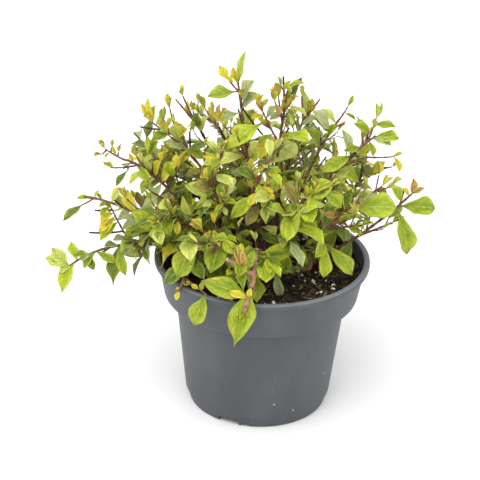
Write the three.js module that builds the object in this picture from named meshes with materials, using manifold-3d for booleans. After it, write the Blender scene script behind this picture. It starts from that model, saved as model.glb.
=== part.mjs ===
// A young Chinese plumbago, a low many-stemmed shrub, in a round nursery pot filled with potting soil.
//
// Millimetres, +Z up, the origin in the middle of the flat pad under the pot, the front towards -Y.
// The shrub has no single trunk. Upright shoots rise from a short woody rootstock, and low ones from the
// soil round it. Each shoot is one arching line from its foot to its tip: the lower part is a bare tapering
// stem, and the upper part carries a mass of twigs and leaves that keeps to the space nearest its own line.

import * as THREE from "three";
import { mergeVertices } from "three/addons/utils/BufferGeometryUtils.js";
import Module from "manifold-3d";

const wasm = await Module();
wasm.setup();

// Pot and soil
const POT_HEIGHT = 140;
const RIM_RADIUS = 95;
const LIP_HEIGHT = 5;
const LIP_OVERHANG = 3.6;
const LIP_ROUNDING = 1.2;
const COLLAR_BOTTOM_Z = 103;
const COLLAR_BOTTOM_RADIUS = 85.4;
const COLLAR_ROUNDING = 4;
const BODY_TOP_RADIUS = 75.6;
const STEP_Z = 10;
const STEP_RADIUS = 65.4;
const STEP_DEPTH = 1.4;
const FOOT_RADIUS = 61.8;
const STEP_LEDGE = 0.8;
const WALL = 1.6;
const SHELF_RISE = 1;
const FOOT_RING_WIDTH = 1.4 * WALL;
const ARC_MIDPOINT = 0.3;
const FLOOR_UNDERSIDE_Z = 5.5;
const FLOOR_THICKNESS = 2.5;
const PAD_RADIUS = 16;
const PAD_TAPER = 2;
const ROUND_SEGMENTS = 36;
const NOTCH_COUNT = 3;
const NOTCH_FIRST_DEG = -113;
const NOTCH_WIDTH = 19;
const NOTCH_HEIGHT = 4.8;
const NOTCH_DEPTH = 14;
const NOTCH_SPACING = 4;
const DIMPLE_WIDTH = 8;
const DIMPLE_HEIGHT = 1.8;
const DRAIN_WIDTH = 14;
const DRAIN_DEPTH = 6;
const SOIL_TOP_Z = 130;
const SOIL_CLEARANCE = 0.6;
const SOIL_FLAT_RADIUS = 48;
const SOIL_ROUGH_RADIUS = 62;
const SOIL_LUMP = 1.3;
const SOIL_LUMP_LENGTH = 33;
const SOIL_LUMP_WIDTH = 27;
const SOIL_SETTLED = 0.6;
const SOIL_RINGS = 2;

// Rootstock and stems
const GAP = 0.3;
const JOIN_GAP = 0.38;
const STOCK_HEIGHT = 11;
const STOCK_FOOT_RADIUS = 15;
const STOCK_TOP_RADIUS = 12.6;
const STOCK_RING_RADIUS = 9.4;
const STOCK_CORE_RADIUS = 3.4;
const STOCK_PINCH = 0.16;
const STOCK_SIDES = 12;
const STOCK_STEPS = 3;
const CORE_REACH = 30;
const UPRIGHT_RISE = 105;
const SOIL_RING_RADIUS = 20;
const SOIL_RING_SHARE = 0.13;
const LOW_BEND = 0.22;
const HIGH_BEND = 0.68;
const LOW_LIFT = 0.75;
const HIGH_LIFT = 1.2;
const STEM_FOOT_RADIUS = 1.9;
const STEM_FORK_RADIUS = 1.5;
const STEM_TIP_RADIUS = 0.9;
const FLARE = 1.25;
const LEAFLESS_SHARE = 0.3;
const STEM_SIDES = 5;
const STEM_STEPS = 4;
const UPPER_STEM_SIDES = 4;
const UPPER_STEM_STEPS = 6;

// Each shoot: the direction that it leans to, how far its tip is from the pot's axis, how high the tip is
// above the soil, and how far the arch stands above a straight line.
const SHOOTS = [
  { name: "left_low", toward: 182, reach: 170, rise: -6, arch: 28 },
  { name: "left_lower", toward: 198, reach: 112, rise: 28, arch: 38 },
  { name: "left_mid", toward: 188, reach: 156, rise: 70, arch: 14 },
  { name: "left_upper", toward: 178, reach: 122, rise: 94, arch: 22 },
  { name: "left_crest", toward: 171, reach: 90, rise: 122, arch: 16 },
  { name: "left_top", toward: 150, reach: 78, rise: 124, arch: 14 },
  { name: "back_left_top", toward: 125, reach: 84, rise: 108, arch: 20 },
  { name: "top_tall", toward: 165, reach: 27, rise: 168, arch: 4 },
  { name: "top_mid", toward: 60, reach: 29, rise: 140, arch: 6 },
  { name: "back_top", toward: 66, reach: 84, rise: 112, arch: 18 },
  { name: "right_crest", toward: 34, reach: 76, rise: 124, arch: 14 },
  { name: "right_upper", toward: 10, reach: 95, rise: 120, arch: 14 },
  { name: "right_mid", toward: 21, reach: 112, rise: 80, arch: 18 },
  { name: "right_low", toward: 355, reach: 126, rise: 79, arch: -8 },
  { name: "right_front", toward: 332, reach: 90, rise: 84, arch: 12 },
  { name: "front_right", toward: 302, reach: 64, rise: 93, arch: 12 },
  { name: "front_mid", toward: 262, reach: 52, rise: 108, arch: 12 },
  { name: "front_low", toward: 266, reach: 104, rise: 12, arch: 56 },
  { name: "front_left", toward: 243, reach: 90, rise: 50, arch: 34 },
  { name: "front_left_low", toward: 226, reach: 100, rise: 4, arch: 54 },
  { name: "left_front", toward: 211, reach: 104, rise: 66, arch: 24 },
  { name: "left_inner", toward: 222, reach: 64, rise: 98, arch: 16 },
  { name: "back_left", toward: 142, reach: 134, rise: 58, arch: 32 },
  { name: "back_mid", toward: 108, reach: 124, rise: 68, arch: 28 },
  { name: "back_right", toward: 76, reach: 122, rise: 60, arch: 30 },
  { name: "right_back", toward: 46, reach: 126, rise: 60, arch: 30 },
];

// Twigs and leaves
const TWIG_COUNT = 4;
const TWIG_SIDES = 3;
const TWIG_FIRST = 0.1;
const TWIG_LAST = 0.86;
const TWIG_LENGTH = 44;
const TWIG_SHORTENING = 0.5;
const TWIG_SPREAD_DEG = 44;
const TWIG_SPREAD_RANGE_DEG = 14;
const TWIG_SIZES = [0.85, 1.15];
const TWIG_LIFT = 0.3;
const TWIG_TESTS = [0.35, 0.7, 1];
const TWIG_ROOT_RADIUS = 1.2;
const TWIG_TIP_RADIUS = 0.8;
const STUB_TWIG = 2;
const STUB_LENGTH = 15;
const GOLDEN_TURN_DEG = 137.5;
const STEM_LEAF_COUNT = 8;
const TWIG_LEAF_COUNT = 3;
const STEM_TIP_LEAVES = 2;
const TWIG_TIP_LEAVES = 1;
const STEM_LEAVES_END = 0.97;
const STEM_LEAVES_START = 0.05;
const TWIG_LEAVES = [0.2, 0.95];
const LEAF_LENGTH = 42;
const LEAF_LOWEST_SHARE = 1.06;
const LEAF_HIGHEST_SHARE = 0.62;
const LEAF_LAST_SHARE = 0.58;
const LEAF_SIZE_RANGE = [0.88, 1.12];
const LEAF_AHEAD = 0.65;
const LEAF_DROOP_RANGE = [-0.25, -0.55];
const DROOP_LOST_AT_TIP = 0.6;
const LAST_LEAF_LEAN = 0.45;
const LEAF_ROLL_RANGE = [-0.55, 0.55];
const FACE_UP = 0.8;
const FACE_OUT = 0.55;
const NEARLY_PARALLEL = 0.2;
const LEAF_HALF_WIDTH = 0.27;
const LEAF_WIDEST = 0.56;
const LEAF_THICKEST = 0.34;
const LEAF_FOLD = 0.1;
const LEAF_CURL = 0.16;
const LEAF_THICKNESS = 0.8;
const LEAF_SUNK = 0.35;
const LEAF_SIZES = [1, 0.8, 0.62];
const LEAF_TESTS = [[0.3, 0], [LEAF_WIDEST, 0], [LEAF_WIDEST, 1], [LEAF_WIDEST, -1], [0.8, 0], [1, 0]];
const SPACE_MARGIN = 2.2;
const LIMB_CLEARANCE = 3.4;
const POT_CLEARANCE = 2;
const PATH_SAMPLES = 24;
const WELD_DISTANCE = 1e-4;
const TWIG_SEED = 1000;
const LEAF_SEED = 5000;
const TWIG_LEAF_SEED = 9000;

const UP = new THREE.Vector3(0, 0, 1);
const radians = THREE.MathUtils.degToRad;

// Random numbers from 0 to 1 that come in the same order for the same seed.
function seeded(seed) {
  let state = seed >>> 0;
  return () => {
    state = (state + 0x6d2b79f5) >>> 0;
    let mixed = Math.imul(state ^ (state >>> 15), state | 1);
    mixed ^= mixed + Math.imul(mixed ^ (mixed >>> 7), mixed | 61);
    return ((mixed ^ (mixed >>> 14)) >>> 0) / 4294967296;
  };
}

// The next random number, from the first value of a range to its last.
function between(random, [first, last]) {
  return first + (last - first) * random();
}

// A closed geometry as a solid that can be joined and cut.
function solidOf(geometry) {
  const bare = geometry.clone();
  bare.deleteAttribute("normal");
  bare.deleteAttribute("uv");
  const merged = mergeVertices(bare, WELD_DISTANCE);
  const corners = merged.index.array;
  const faces = [];
  for (let i = 0; i < corners.length; i += 3) {
    const [a, b, c] = corners.slice(i, i + 3);
    if (a !== b && b !== c && c !== a) faces.push(a, b, c);
  }
  const vertProperties = merged.attributes.position.array;
  return new wasm.Manifold(
    new wasm.Mesh({ numProp: 3, vertProperties, triVerts: new Uint32Array(faces) }),
  );
}

// The largest body of a solid, without loose scraps and sealed hollows, as a named mesh.
function namedMesh(name, solid, material) {
  const bodies = solid.decompose();
  const largest = bodies.reduce((best, body) => (body.volume() > best.volume() ? body : best));
  const { vertProperties, triVerts } = largest.getMesh();
  const geometry = new THREE.BufferGeometry();
  geometry.setAttribute("position", new THREE.BufferAttribute(vertProperties, 3));
  geometry.setIndex(new THREE.BufferAttribute(triVerts, 1));
  geometry.computeVertexNormals();
  const mesh = new THREE.Mesh(geometry, material);
  mesh.name = name;
  return mesh;
}

// A profile of [radius, height] turned round the Z axis.
function turned(profile) {
  const points = profile.map(([radius, z]) => new THREE.Vector2(radius, z));
  return new THREE.LatheGeometry(points, ROUND_SEGMENTS).rotateX(Math.PI / 2);
}

// The radius of the pot's inner wall at a height.
function innerRadius(z) {
  if (z < COLLAR_BOTTOM_Z) {
    const share = (z - STEP_Z) / (COLLAR_BOTTOM_Z - STEP_Z);
    return THREE.MathUtils.lerp(STEP_RADIUS, BODY_TOP_RADIUS, share) - WALL;
  }
  const share = (z - COLLAR_BOTTOM_Z) / (POT_HEIGHT - COLLAR_BOTTOM_Z);
  return THREE.MathUtils.lerp(COLLAR_BOTTOM_RADIUS, RIM_RADIUS - LIP_OVERHANG, share) - WALL;
}

// A thin wall with a foot, a step above it, a wide collar and an overhanging lip. The floor is raised, the
// foot is notched for the drain holes, and a pad in the middle of the floor reaches down to the ground.
function potSolid() {
  const floorTop = FLOOR_UNDERSIDE_Z + FLOOR_THICKNESS;
  const collarTop = RIM_RADIUS - LIP_OVERHANG;
  const wall = turned([
    [0, 0],
    [PAD_RADIUS, 0],
    [PAD_RADIUS + PAD_TAPER, FLOOR_UNDERSIDE_Z],
    [FOOT_RADIUS - FOOT_RING_WIDTH, FLOOR_UNDERSIDE_Z],
    [FOOT_RADIUS - WALL, 0],
    [FOOT_RADIUS, 0],
    [STEP_RADIUS - STEP_DEPTH, STEP_Z - STEP_LEDGE],
    [STEP_RADIUS, STEP_Z],
    [BODY_TOP_RADIUS, COLLAR_BOTTOM_Z - SHELF_RISE],
    [COLLAR_BOTTOM_RADIUS - COLLAR_ROUNDING, COLLAR_BOTTOM_Z],
    [COLLAR_BOTTOM_RADIUS - ARC_MIDPOINT * COLLAR_ROUNDING, COLLAR_BOTTOM_Z + ARC_MIDPOINT * COLLAR_ROUNDING],
    [COLLAR_BOTTOM_RADIUS, COLLAR_BOTTOM_Z + COLLAR_ROUNDING],
    [collarTop, POT_HEIGHT - LIP_HEIGHT],
    [RIM_RADIUS - ARC_MIDPOINT * LIP_ROUNDING, POT_HEIGHT - LIP_HEIGHT + ARC_MIDPOINT * LIP_ROUNDING],
    [RIM_RADIUS, POT_HEIGHT - LIP_HEIGHT + LIP_ROUNDING],
    [RIM_RADIUS, POT_HEIGHT - LIP_ROUNDING],
    [RIM_RADIUS - LIP_ROUNDING, POT_HEIGHT],
    [collarTop - ARC_MIDPOINT * LIP_ROUNDING, POT_HEIGHT],
    [innerRadius(POT_HEIGHT - LIP_ROUNDING), POT_HEIGHT - LIP_ROUNDING],
    [innerRadius(COLLAR_BOTTOM_Z + COLLAR_ROUNDING), COLLAR_BOTTOM_Z + COLLAR_ROUNDING],
    [innerRadius(COLLAR_BOTTOM_Z - SHELF_RISE), COLLAR_BOTTOM_Z + WALL],
    [innerRadius(STEP_Z), STEP_Z],
    [STEP_RADIUS - STEP_DEPTH - WALL, floorTop],
    [0, floorTop],
  ]);
  let pot = solidOf(wall);
  for (let i = 0; i < NOTCH_COUNT; i++) {
    const turn = radians(NOTCH_FIRST_DEG + (i * 360) / NOTCH_COUNT);
    const dimpleTurn = turn + (NOTCH_WIDTH + DIMPLE_WIDTH + NOTCH_SPACING) / 2 / FOOT_RADIUS;
    const notch = new THREE.BoxGeometry(NOTCH_DEPTH, NOTCH_WIDTH, NOTCH_HEIGHT * 2);
    const dimple = new THREE.BoxGeometry(NOTCH_DEPTH, DIMPLE_WIDTH, DIMPLE_HEIGHT * 2);
    const drain = new THREE.BoxGeometry(DRAIN_DEPTH, DRAIN_WIDTH, FLOOR_THICKNESS * 4);
    notch.translate(FOOT_RADIUS, 0, 0).rotateZ(turn);
    dimple.translate(FOOT_RADIUS, 0, 0).rotateZ(dimpleTurn);
    drain.translate(FOOT_RADIUS - 2 * WALL - DRAIN_DEPTH / 2, 0, floorTop).rotateZ(turn);
    pot = pot.subtract(solidOf(notch)).subtract(solidOf(dimple)).subtract(solidOf(drain));
  }
  return pot;
}

// The height of the soil's surface: flat where the stems stand, lumpy towards the wall.
function soilHeight(x, y) {
  const radius = Math.hypot(x, y);
  const rough = THREE.MathUtils.smoothstep(radius, SOIL_FLAT_RADIUS, SOIL_ROUGH_RADIUS);
  const across = Math.sin((2 * Math.PI * x) / SOIL_LUMP_LENGTH + 1);
  const along = Math.cos((2 * Math.PI * y) / SOIL_LUMP_WIDTH);
  return SOIL_TOP_Z - SOIL_LUMP * rough * (SOIL_SETTLED + across * along);
}

function soilSolid() {
  const floorTop = FLOOR_UNDERSIDE_Z + FLOOR_THICKNESS + SOIL_CLEARANCE;
  const shelf = COLLAR_BOTTOM_Z + WALL + SOIL_CLEARANCE;
  const aboveShelf = COLLAR_BOTTOM_Z + COLLAR_ROUNDING + 2 * SOIL_CLEARANCE;
  const topRadius = innerRadius(SOIL_TOP_Z) - 2 * SOIL_CLEARANCE;
  const surface = Array.from({ length: SOIL_RINGS + 1 }, (_, i) => {
    return [THREE.MathUtils.lerp(topRadius, SOIL_ROUGH_RADIUS, i / SOIL_RINGS), SOIL_TOP_Z];
  });
  const body = turned([
    [0, floorTop],
    [STEP_RADIUS - STEP_DEPTH - WALL - SOIL_CLEARANCE, floorTop],
    [innerRadius(STEP_Z) - SOIL_CLEARANCE, STEP_Z + SOIL_CLEARANCE],
    [innerRadius(COLLAR_BOTTOM_Z - SHELF_RISE) - SOIL_CLEARANCE, shelf],
    [innerRadius(aboveShelf) - SOIL_CLEARANCE, aboveShelf],
    ...surface,
    [SOIL_FLAT_RADIUS, SOIL_TOP_Z],
    [0, SOIL_TOP_Z],
  ]);
  const places = body.attributes.position;
  for (let i = 0; i < places.count; i++) {
    if (places.getZ(i) > SOIL_TOP_Z - GAP) {
      places.setZ(i, soilHeight(places.getX(i), places.getY(i)));
    }
  }
  return solidOf(body);
}

// The woody knuckle at ground level that the upright shoots rise from, flared at its flat foot.
function rootstockSolid() {
  const foot = SOIL_TOP_Z + GAP;
  const sizes = [STOCK_TOP_RADIUS, STOCK_FOOT_RADIUS, STOCK_HEIGHT];
  const knuckle = new THREE.CylinderGeometry(...sizes, STOCK_SIDES, STOCK_STEPS);
  knuckle.rotateX(Math.PI / 2).translate(0, 0, foot + STOCK_HEIGHT / 2);
  const places = knuckle.attributes.position;
  for (let i = 0; i < places.count; i++) {
    const share = (places.getZ(i) - foot) / STOCK_HEIGHT;
    const pinch = 1 - STOCK_PINCH * Math.sin(Math.PI * share);
    places.setX(i, places.getX(i) * pinch);
    places.setY(i, places.getY(i) * pinch);
  }
  return solidOf(knuckle);
}

// Where each shoot stands. The upright shoots stand on the rootstock, the two steepest in its middle and the
// rest evenly on a ring, in the order of their directions and as near to them as the ring can be turned. The
// low shoots stand in the soil round it, further out the further they reach.
function feetOf(shoots) {
  const ring = shoots.filter((shoot) => shoot.rise > UPRIGHT_RISE && shoot.reach > CORE_REACH);
  ring.sort((a, b) => fullTurn(a.toward) - fullTurn(b.toward));
  const step = 360 / ring.length;
  const first = ring.reduce((sum, shoot, i) => sum + fullTurn(shoot.toward) - i * step, 0) / ring.length;
  const stockTop = SOIL_TOP_Z + STOCK_HEIGHT + 2 * GAP;
  const feet = new Map();
  for (const shoot of shoots) {
    const place = ring.indexOf(shoot);
    const inSoil = SOIL_RING_RADIUS + SOIL_RING_SHARE * shoot.reach;
    let foot = ringPoint(inSoil, shoot.toward, SOIL_TOP_Z + GAP);
    if (shoot.reach < CORE_REACH) foot = ringPoint(STOCK_CORE_RADIUS, shoot.toward, stockTop);
    if (place >= 0) foot = ringPoint(STOCK_RING_RADIUS, first + place * step, stockTop);
    feet.set(shoot.name, foot);
  }
  return feet;
}

function fullTurn(degrees) {
  return (degrees + 360) % 360;
}

function ringPoint(radius, degrees, z) {
  return new THREE.Vector3(radius * Math.cos(radians(degrees)), radius * Math.sin(radians(degrees)), z);
}

// The arching line of a shoot, from its foot to its tip.
function pathOf(shoot, foot) {
  const tip = ringPoint(shoot.reach, shoot.toward, SOIL_TOP_Z + shoot.rise);
  const along = new THREE.Vector3().subVectors(tip, foot);
  const low = foot.clone().addScaledVector(along, LOW_BEND);
  const high = foot.clone().addScaledVector(along, HIGH_BEND);
  low.z += shoot.arch * LOW_LIFT;
  high.z += shoot.arch * HIGH_LIFT;
  return new THREE.CubicBezierCurve3(foot, low, high, tip);
}

// A tapering limb of several sides along a stretch of a curve, closed at both ends.
function limb(curve, from, to, startRadius, endRadius, sides, steps, across, flatFoot = false) {
  const geometry = new THREE.CylinderGeometry(1, 1, 1, sides, steps);
  const places = geometry.attributes.position;
  for (let i = 0; i < places.count; i++) {
    const share = places.getY(i) + 0.5;
    const at = from + (to - from) * share;
    const tangent = curve.getTangent(at);
    const side = across.clone().addScaledVector(tangent, -across.dot(tangent)).normalize();
    const over = new THREE.Vector3().crossVectors(side, tangent);
    const flare = flatFoot ? 1 + (FLARE - 1) * Math.max(0, 1 - share * steps) : 1;
    const radius = THREE.MathUtils.lerp(startRadius, endRadius, share) * flare;
    const point = curve.getPoint(at);
    const ground = point.z;
    point.addScaledVector(side, places.getX(i) * radius).addScaledVector(over, places.getZ(i) * radius);
    if (flatFoot && share === 0) point.z = ground;
    places.setXYZ(i, point.x, point.y, point.z);
  }
  return geometry;
}

// A pointed blade of eight faces, folded a little along its midrib, from its root on a twig. Its frame is the
// way that it points, the way across it, and the way that its upper face looks.
function leaf(root, along, across, face, length) {
  const blade = new THREE.OctahedronGeometry(1, 0);
  const places = blade.attributes.position;
  const halfWidth = length * LEAF_HALF_WIDTH;
  for (let i = 0; i < places.count; i++) {
    const [x, y, z] = [places.getX(i), places.getY(i), places.getZ(i)].map(Math.round);
    const share = y < 0 ? 0 : y > 0 ? 1 : x === 0 ? LEAF_THICKEST : LEAF_WIDEST;
    const bend = length * (LEAF_FOLD * Math.abs(x) - LEAF_CURL * share * share);
    const point = root.clone().addScaledVector(along, share * length - LEAF_SUNK);
    point.addScaledVector(across, x * halfWidth).addScaledVector(face, bend + (z * LEAF_THICKNESS) / 2);
    places.setXYZ(i, point.x, point.y, point.z);
  }
  return blade;
}

// Where a shoot's points lie, and how far a point is from a stretch of it.
function samplesOf(curve) {
  return Array.from({ length: PATH_SAMPLES + 1 }, (_, i) => curve.getPoint(i / PATH_SAMPLES));
}

function distanceTo(samples, point, last = samples.length - 1) {
  const nearest = new THREE.Vector3();
  const stretch = new THREE.Line3();
  let best = Infinity;
  for (let i = 0; i < last; i++) {
    stretch.set(samples[i], samples[i + 1]).closestPointToPoint(point, true, nearest);
    best = Math.min(best, nearest.distanceTo(point));
  }
  return best;
}

function clearOfPot(point) {
  const radius = Math.hypot(point.x, point.y);
  if (point.z > POT_HEIGHT + POT_CLEARANCE) return true;
  if (radius > RIM_RADIUS + POT_CLEARANCE) return true;
  return radius < innerRadius(SOIL_TOP_Z) - POT_CLEARANCE && point.z > SOIL_TOP_Z + POT_CLEARANCE;
}

// True if every point is in the shoot's own space: nearer to its line than to any other shoot's by a margin,
// and clear of its own bare stem, the pot and the soil.
function inOwnSpace(index, points) {
  const bareSamples = Math.ceil(LEAFLESS_SHARE * PATH_SAMPLES);
  return points.every((point) => {
    if (!clearOfPot(point)) return false;
    const own = distanceTo(shootSamples[index], point);
    if (distanceTo(shootSamples[index], point, bareSamples) < LIMB_CLEARANCE) return false;
    return shootSamples.every(
      (samples, other) => other === index || distanceTo(samples, point) > own + SPACE_MARGIN,
    );
  });
}

// A shoot's twigs, by a seeded rule: each leaves the stem a golden turn after the last, and leans upwards.
function twigsOf(index) {
  const random = seeded(TWIG_SEED + index);
  const curve = paths[index];
  const across = acrossOf(index);
  const phase = random() * 360;
  const twigs = [];
  for (let k = 0; k < TWIG_COUNT; k++) {
    const share = THREE.MathUtils.lerp(TWIG_FIRST, TWIG_LAST, k / (TWIG_COUNT - 1));
    const at = LEAFLESS_SHARE + (1 - LEAFLESS_SHARE) * share;
    const turn = radians(phase + k * GOLDEN_TURN_DEG);
    const spread = radians(TWIG_SPREAD_DEG + TWIG_SPREAD_RANGE_DEG * (random() - 0.5));
    const full = TWIG_LENGTH * (1 - TWIG_SHORTENING * share) * between(random, TWIG_SIZES);
    const length = k === STUB_TWIG ? STUB_LENGTH : full;
    const tangent = curve.getTangent(at);
    const side = new THREE.Vector3().crossVectors(tangent, across).normalize();
    const round = across.clone().multiplyScalar(Math.sin(turn)).addScaledVector(side, Math.cos(turn));
    const heading = tangent.clone().multiplyScalar(Math.cos(spread)).addScaledVector(round, Math.sin(spread));
    heading.addScaledVector(UP, TWIG_LIFT);
    const start = curve.getPoint(at);
    const line = new THREE.LineCurve3(start, start.clone().addScaledVector(heading, length));
    const tests = TWIG_TESTS.map((test) => line.getPoint(test));
    if (inOwnSpace(index, tests)) twigs.push({ line, number: k });
  }
  return twigs;
}

// The level direction across a shoot's line.
function acrossOf(index) {
  const turn = radians(SHOOTS[index].toward);
  return new THREE.Vector3(-Math.sin(turn), Math.cos(turn), 0);
}

// Leaves along a stretch of a line, each a golden turn after the last, drooping and facing up and outwards.
function leavesAlong(index, line, from, to, count, random) {
  const phase = random() * 360;
  const made = [];
  for (let k = 0; k < count; k++) {
    const share = from + ((to - from) * (k + 0.5)) / count;
    const usual = LEAF_LENGTH * THREE.MathUtils.lerp(LEAF_LOWEST_SHARE, LEAF_HIGHEST_SHARE, share);
    const size = usual * between(random, LEAF_SIZE_RANGE);
    const turn = radians(phase + k * GOLDEN_TURN_DEG);
    const tangent = line.getTangent(share);
    const level = new THREE.Vector3().crossVectors(tangent, acrossOf(index));
    if (level.length() < NEARLY_PARALLEL) level.crossVectors(tangent, UP);
    level.normalize();
    const second = new THREE.Vector3().crossVectors(tangent, level).normalize();
    const outward = level.multiplyScalar(Math.cos(turn)).addScaledVector(second, Math.sin(turn));
    const droop = between(random, LEAF_DROOP_RANGE) * (1 - DROOP_LOST_AT_TIP * share);
    const along = outward.addScaledVector(tangent, LEAF_AHEAD).addScaledVector(UP, droop);
    made.push(bladeFrom(index, line.getPoint(share), along.normalize(), size, random));
  }
  return made.filter(Boolean);
}

// The last leaves of a line, which point on along it.
function leavesAtTip(index, line, count, random) {
  const made = [];
  for (let k = 0; k < count; k++) {
    const turn = random() * 2 * Math.PI;
    const tangent = line.getTangent(1);
    const level = new THREE.Vector3().crossVectors(tangent, UP).normalize();
    const second = new THREE.Vector3().crossVectors(tangent, level).normalize();
    const lean = level.multiplyScalar(Math.cos(turn)).addScaledVector(second, Math.sin(turn));
    const along = tangent.clone().addScaledVector(lean, LAST_LEAF_LEAN).normalize();
    made.push(bladeFrom(index, line.getPoint(1), along, LEAF_LENGTH * LEAF_LAST_SHARE, random));
  }
  return made.filter(Boolean);
}

// A leaf that keeps to the shoot's own space, smaller if it has to be, or null where none does.
function bladeFrom(index, root, along, size, random) {
  const outwards = new THREE.Vector3(root.x, root.y, 0).normalize();
  const roll = between(random, LEAF_ROLL_RANGE);
  const wanted = UP.clone().multiplyScalar(FACE_UP).addScaledVector(outwards, FACE_OUT);
  const face = wanted.addScaledVector(along, -wanted.dot(along)).normalize().applyAxisAngle(along, roll);
  const across = new THREE.Vector3().crossVectors(along, face).normalize();
  for (const length of LEAF_SIZES.map((share) => share * size)) {
    const point = ([share, x]) =>
      root
        .clone()
        .addScaledVector(along, share * length)
        .addScaledVector(across, x * length * LEAF_HALF_WIDTH)
        .addScaledVector(face, -LEAF_CURL * share * share * length);
    if (inOwnSpace(index, LEAF_TESTS.map(point))) return leaf(root, along, across, face, length);
  }
  return null;
}

// The stretch of a shoot above its bare stem, with its twigs and leaves fused on.
function foliageSolid(index) {
  const random = seeded(LEAF_SEED + index);
  const curve = paths[index];
  const start = LEAFLESS_SHARE + JOIN_GAP / curve.getLength();
  const stemLeaves = [LEAFLESS_SHARE + STEM_LEAVES_START, STEM_LEAVES_END];
  const stemSections = [STEM_FORK_RADIUS, STEM_TIP_RADIUS, UPPER_STEM_SIDES, UPPER_STEM_STEPS];
  const pieces = [limb(curve, start, 1, ...stemSections, acrossOf(index))];
  pieces.push(...leavesAlong(index, curve, ...stemLeaves, STEM_LEAF_COUNT, random));
  pieces.push(...leavesAtTip(index, curve, STEM_TIP_LEAVES, random));
  for (const { line, number } of twigsOf(index)) {
    pieces.push(limb(line, 0, 1, TWIG_ROOT_RADIUS, TWIG_TIP_RADIUS, TWIG_SIDES, 1, acrossOf(index)));
    if (number === STUB_TWIG) continue;
    const draw = seeded(TWIG_LEAF_SEED + 10 * index + number);
    pieces.push(...leavesAlong(index, line, ...TWIG_LEAVES, TWIG_LEAF_COUNT, draw));
    pieces.push(...leavesAtTip(index, line, TWIG_TIP_LEAVES, draw));
  }
  return pieces.map(solidOf).reduce((whole, piece) => whole.add(piece));
}

const feet = feetOf(SHOOTS);
const paths = SHOOTS.map((shoot) => pathOf(shoot, feet.get(shoot.name)));
const shootSamples = paths.map(samplesOf);

const plastic = new THREE.MeshStandardMaterial({ color: 0x5f6468, roughness: 0.55, metalness: 0 });
const compost = new THREE.MeshStandardMaterial({ color: 0x2b2119, roughness: 1, metalness: 0 });
const bark = new THREE.MeshStandardMaterial({ color: 0x5b3833, roughness: 0.8, metalness: 0 });
const leafage = new THREE.MeshStandardMaterial({ color: 0x9fb848, roughness: 0.5, metalness: 0 });

const plant = new THREE.Group();
plant.add(namedMesh("pot", potSolid(), plastic));
plant.add(namedMesh("soil", soilSolid(), compost));
plant.add(namedMesh("rootstock", rootstockSolid(), bark));
SHOOTS.forEach((shoot, index) => {
  const sections = [STEM_FOOT_RADIUS, STEM_FORK_RADIUS, STEM_SIDES, STEM_STEPS];
  const stem = limb(paths[index], 0, LEAFLESS_SHARE, ...sections, acrossOf(index), true);
  plant.add(namedMesh("stem_" + shoot.name, solidOf(stem), bark));
  plant.add(namedMesh("foliage_" + shoot.name, foliageSolid(index), leafage));
});

export default plant;
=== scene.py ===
# %% [markdown]
# # A potted Chinese plumbago
#
# The object is a young Chinese plumbago: a low shrub of many thin reddish stems, in leaf and without
# flowers, in the round grey pot that it was grown in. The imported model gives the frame: the pot, the soil,
# the rootstock, the bare foot of each stem and one mass of foliage for each shoot. Every piece made here
# stands exactly where its part of the frame is. So the frame is loaded first, and its box is kept.

# %% Load the frame
import math

import bmesh
import bpy
import numpy as np
from mathutils import Matrix, Vector, noise


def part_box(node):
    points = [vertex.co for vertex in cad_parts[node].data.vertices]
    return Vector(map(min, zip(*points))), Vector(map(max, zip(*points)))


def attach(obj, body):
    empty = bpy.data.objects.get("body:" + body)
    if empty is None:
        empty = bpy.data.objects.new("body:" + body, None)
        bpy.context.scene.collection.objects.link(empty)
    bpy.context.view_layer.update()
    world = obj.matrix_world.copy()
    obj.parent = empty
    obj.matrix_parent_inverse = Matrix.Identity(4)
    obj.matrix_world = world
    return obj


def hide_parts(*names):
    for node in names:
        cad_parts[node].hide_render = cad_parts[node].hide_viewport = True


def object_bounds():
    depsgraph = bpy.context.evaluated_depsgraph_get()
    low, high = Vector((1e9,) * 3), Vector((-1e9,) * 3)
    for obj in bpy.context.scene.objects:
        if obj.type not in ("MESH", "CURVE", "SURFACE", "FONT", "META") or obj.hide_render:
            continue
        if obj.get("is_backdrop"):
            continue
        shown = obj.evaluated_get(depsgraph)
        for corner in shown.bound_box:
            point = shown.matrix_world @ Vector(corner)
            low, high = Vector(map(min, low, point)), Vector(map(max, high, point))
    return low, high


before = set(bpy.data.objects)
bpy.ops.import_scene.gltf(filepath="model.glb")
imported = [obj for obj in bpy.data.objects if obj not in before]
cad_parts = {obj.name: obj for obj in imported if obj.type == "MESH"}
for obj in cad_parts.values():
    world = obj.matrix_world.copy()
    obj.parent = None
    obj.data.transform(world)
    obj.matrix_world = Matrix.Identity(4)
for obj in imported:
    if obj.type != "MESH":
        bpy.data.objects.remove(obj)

frame_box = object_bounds()
MM = 0.001
print("nodes in the frame:", len(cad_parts))

# %% [markdown]
# ## Places that the frame gives
#
# The pot's height and rim radius, the level of the soil and the top of the rootstock are read from the
# frame's boxes, so that they can't drift from the solids. The thin gap that touching solids keep is the
# only other number here.

# %% Read the places
GAP = 0.3 * MM
pot_low, pot_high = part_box("pot")
stock_low, stock_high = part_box("rootstock")
POT_HEIGHT = pot_high.z
RIM_RADIUS = pot_high.x
SOIL_TOP = stock_low.z - GAP
STOCK_TOP = stock_high.z
FOLIAGE_NODES = [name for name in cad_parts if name.startswith("foliage_")]
STEM_NODES = [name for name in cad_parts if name.startswith("stem_")]
print(f"pot {POT_HEIGHT / MM:.0f} mm high, rim radius {RIM_RADIUS / MM:.0f} mm, {len(STEM_NODES)} stems")

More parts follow.
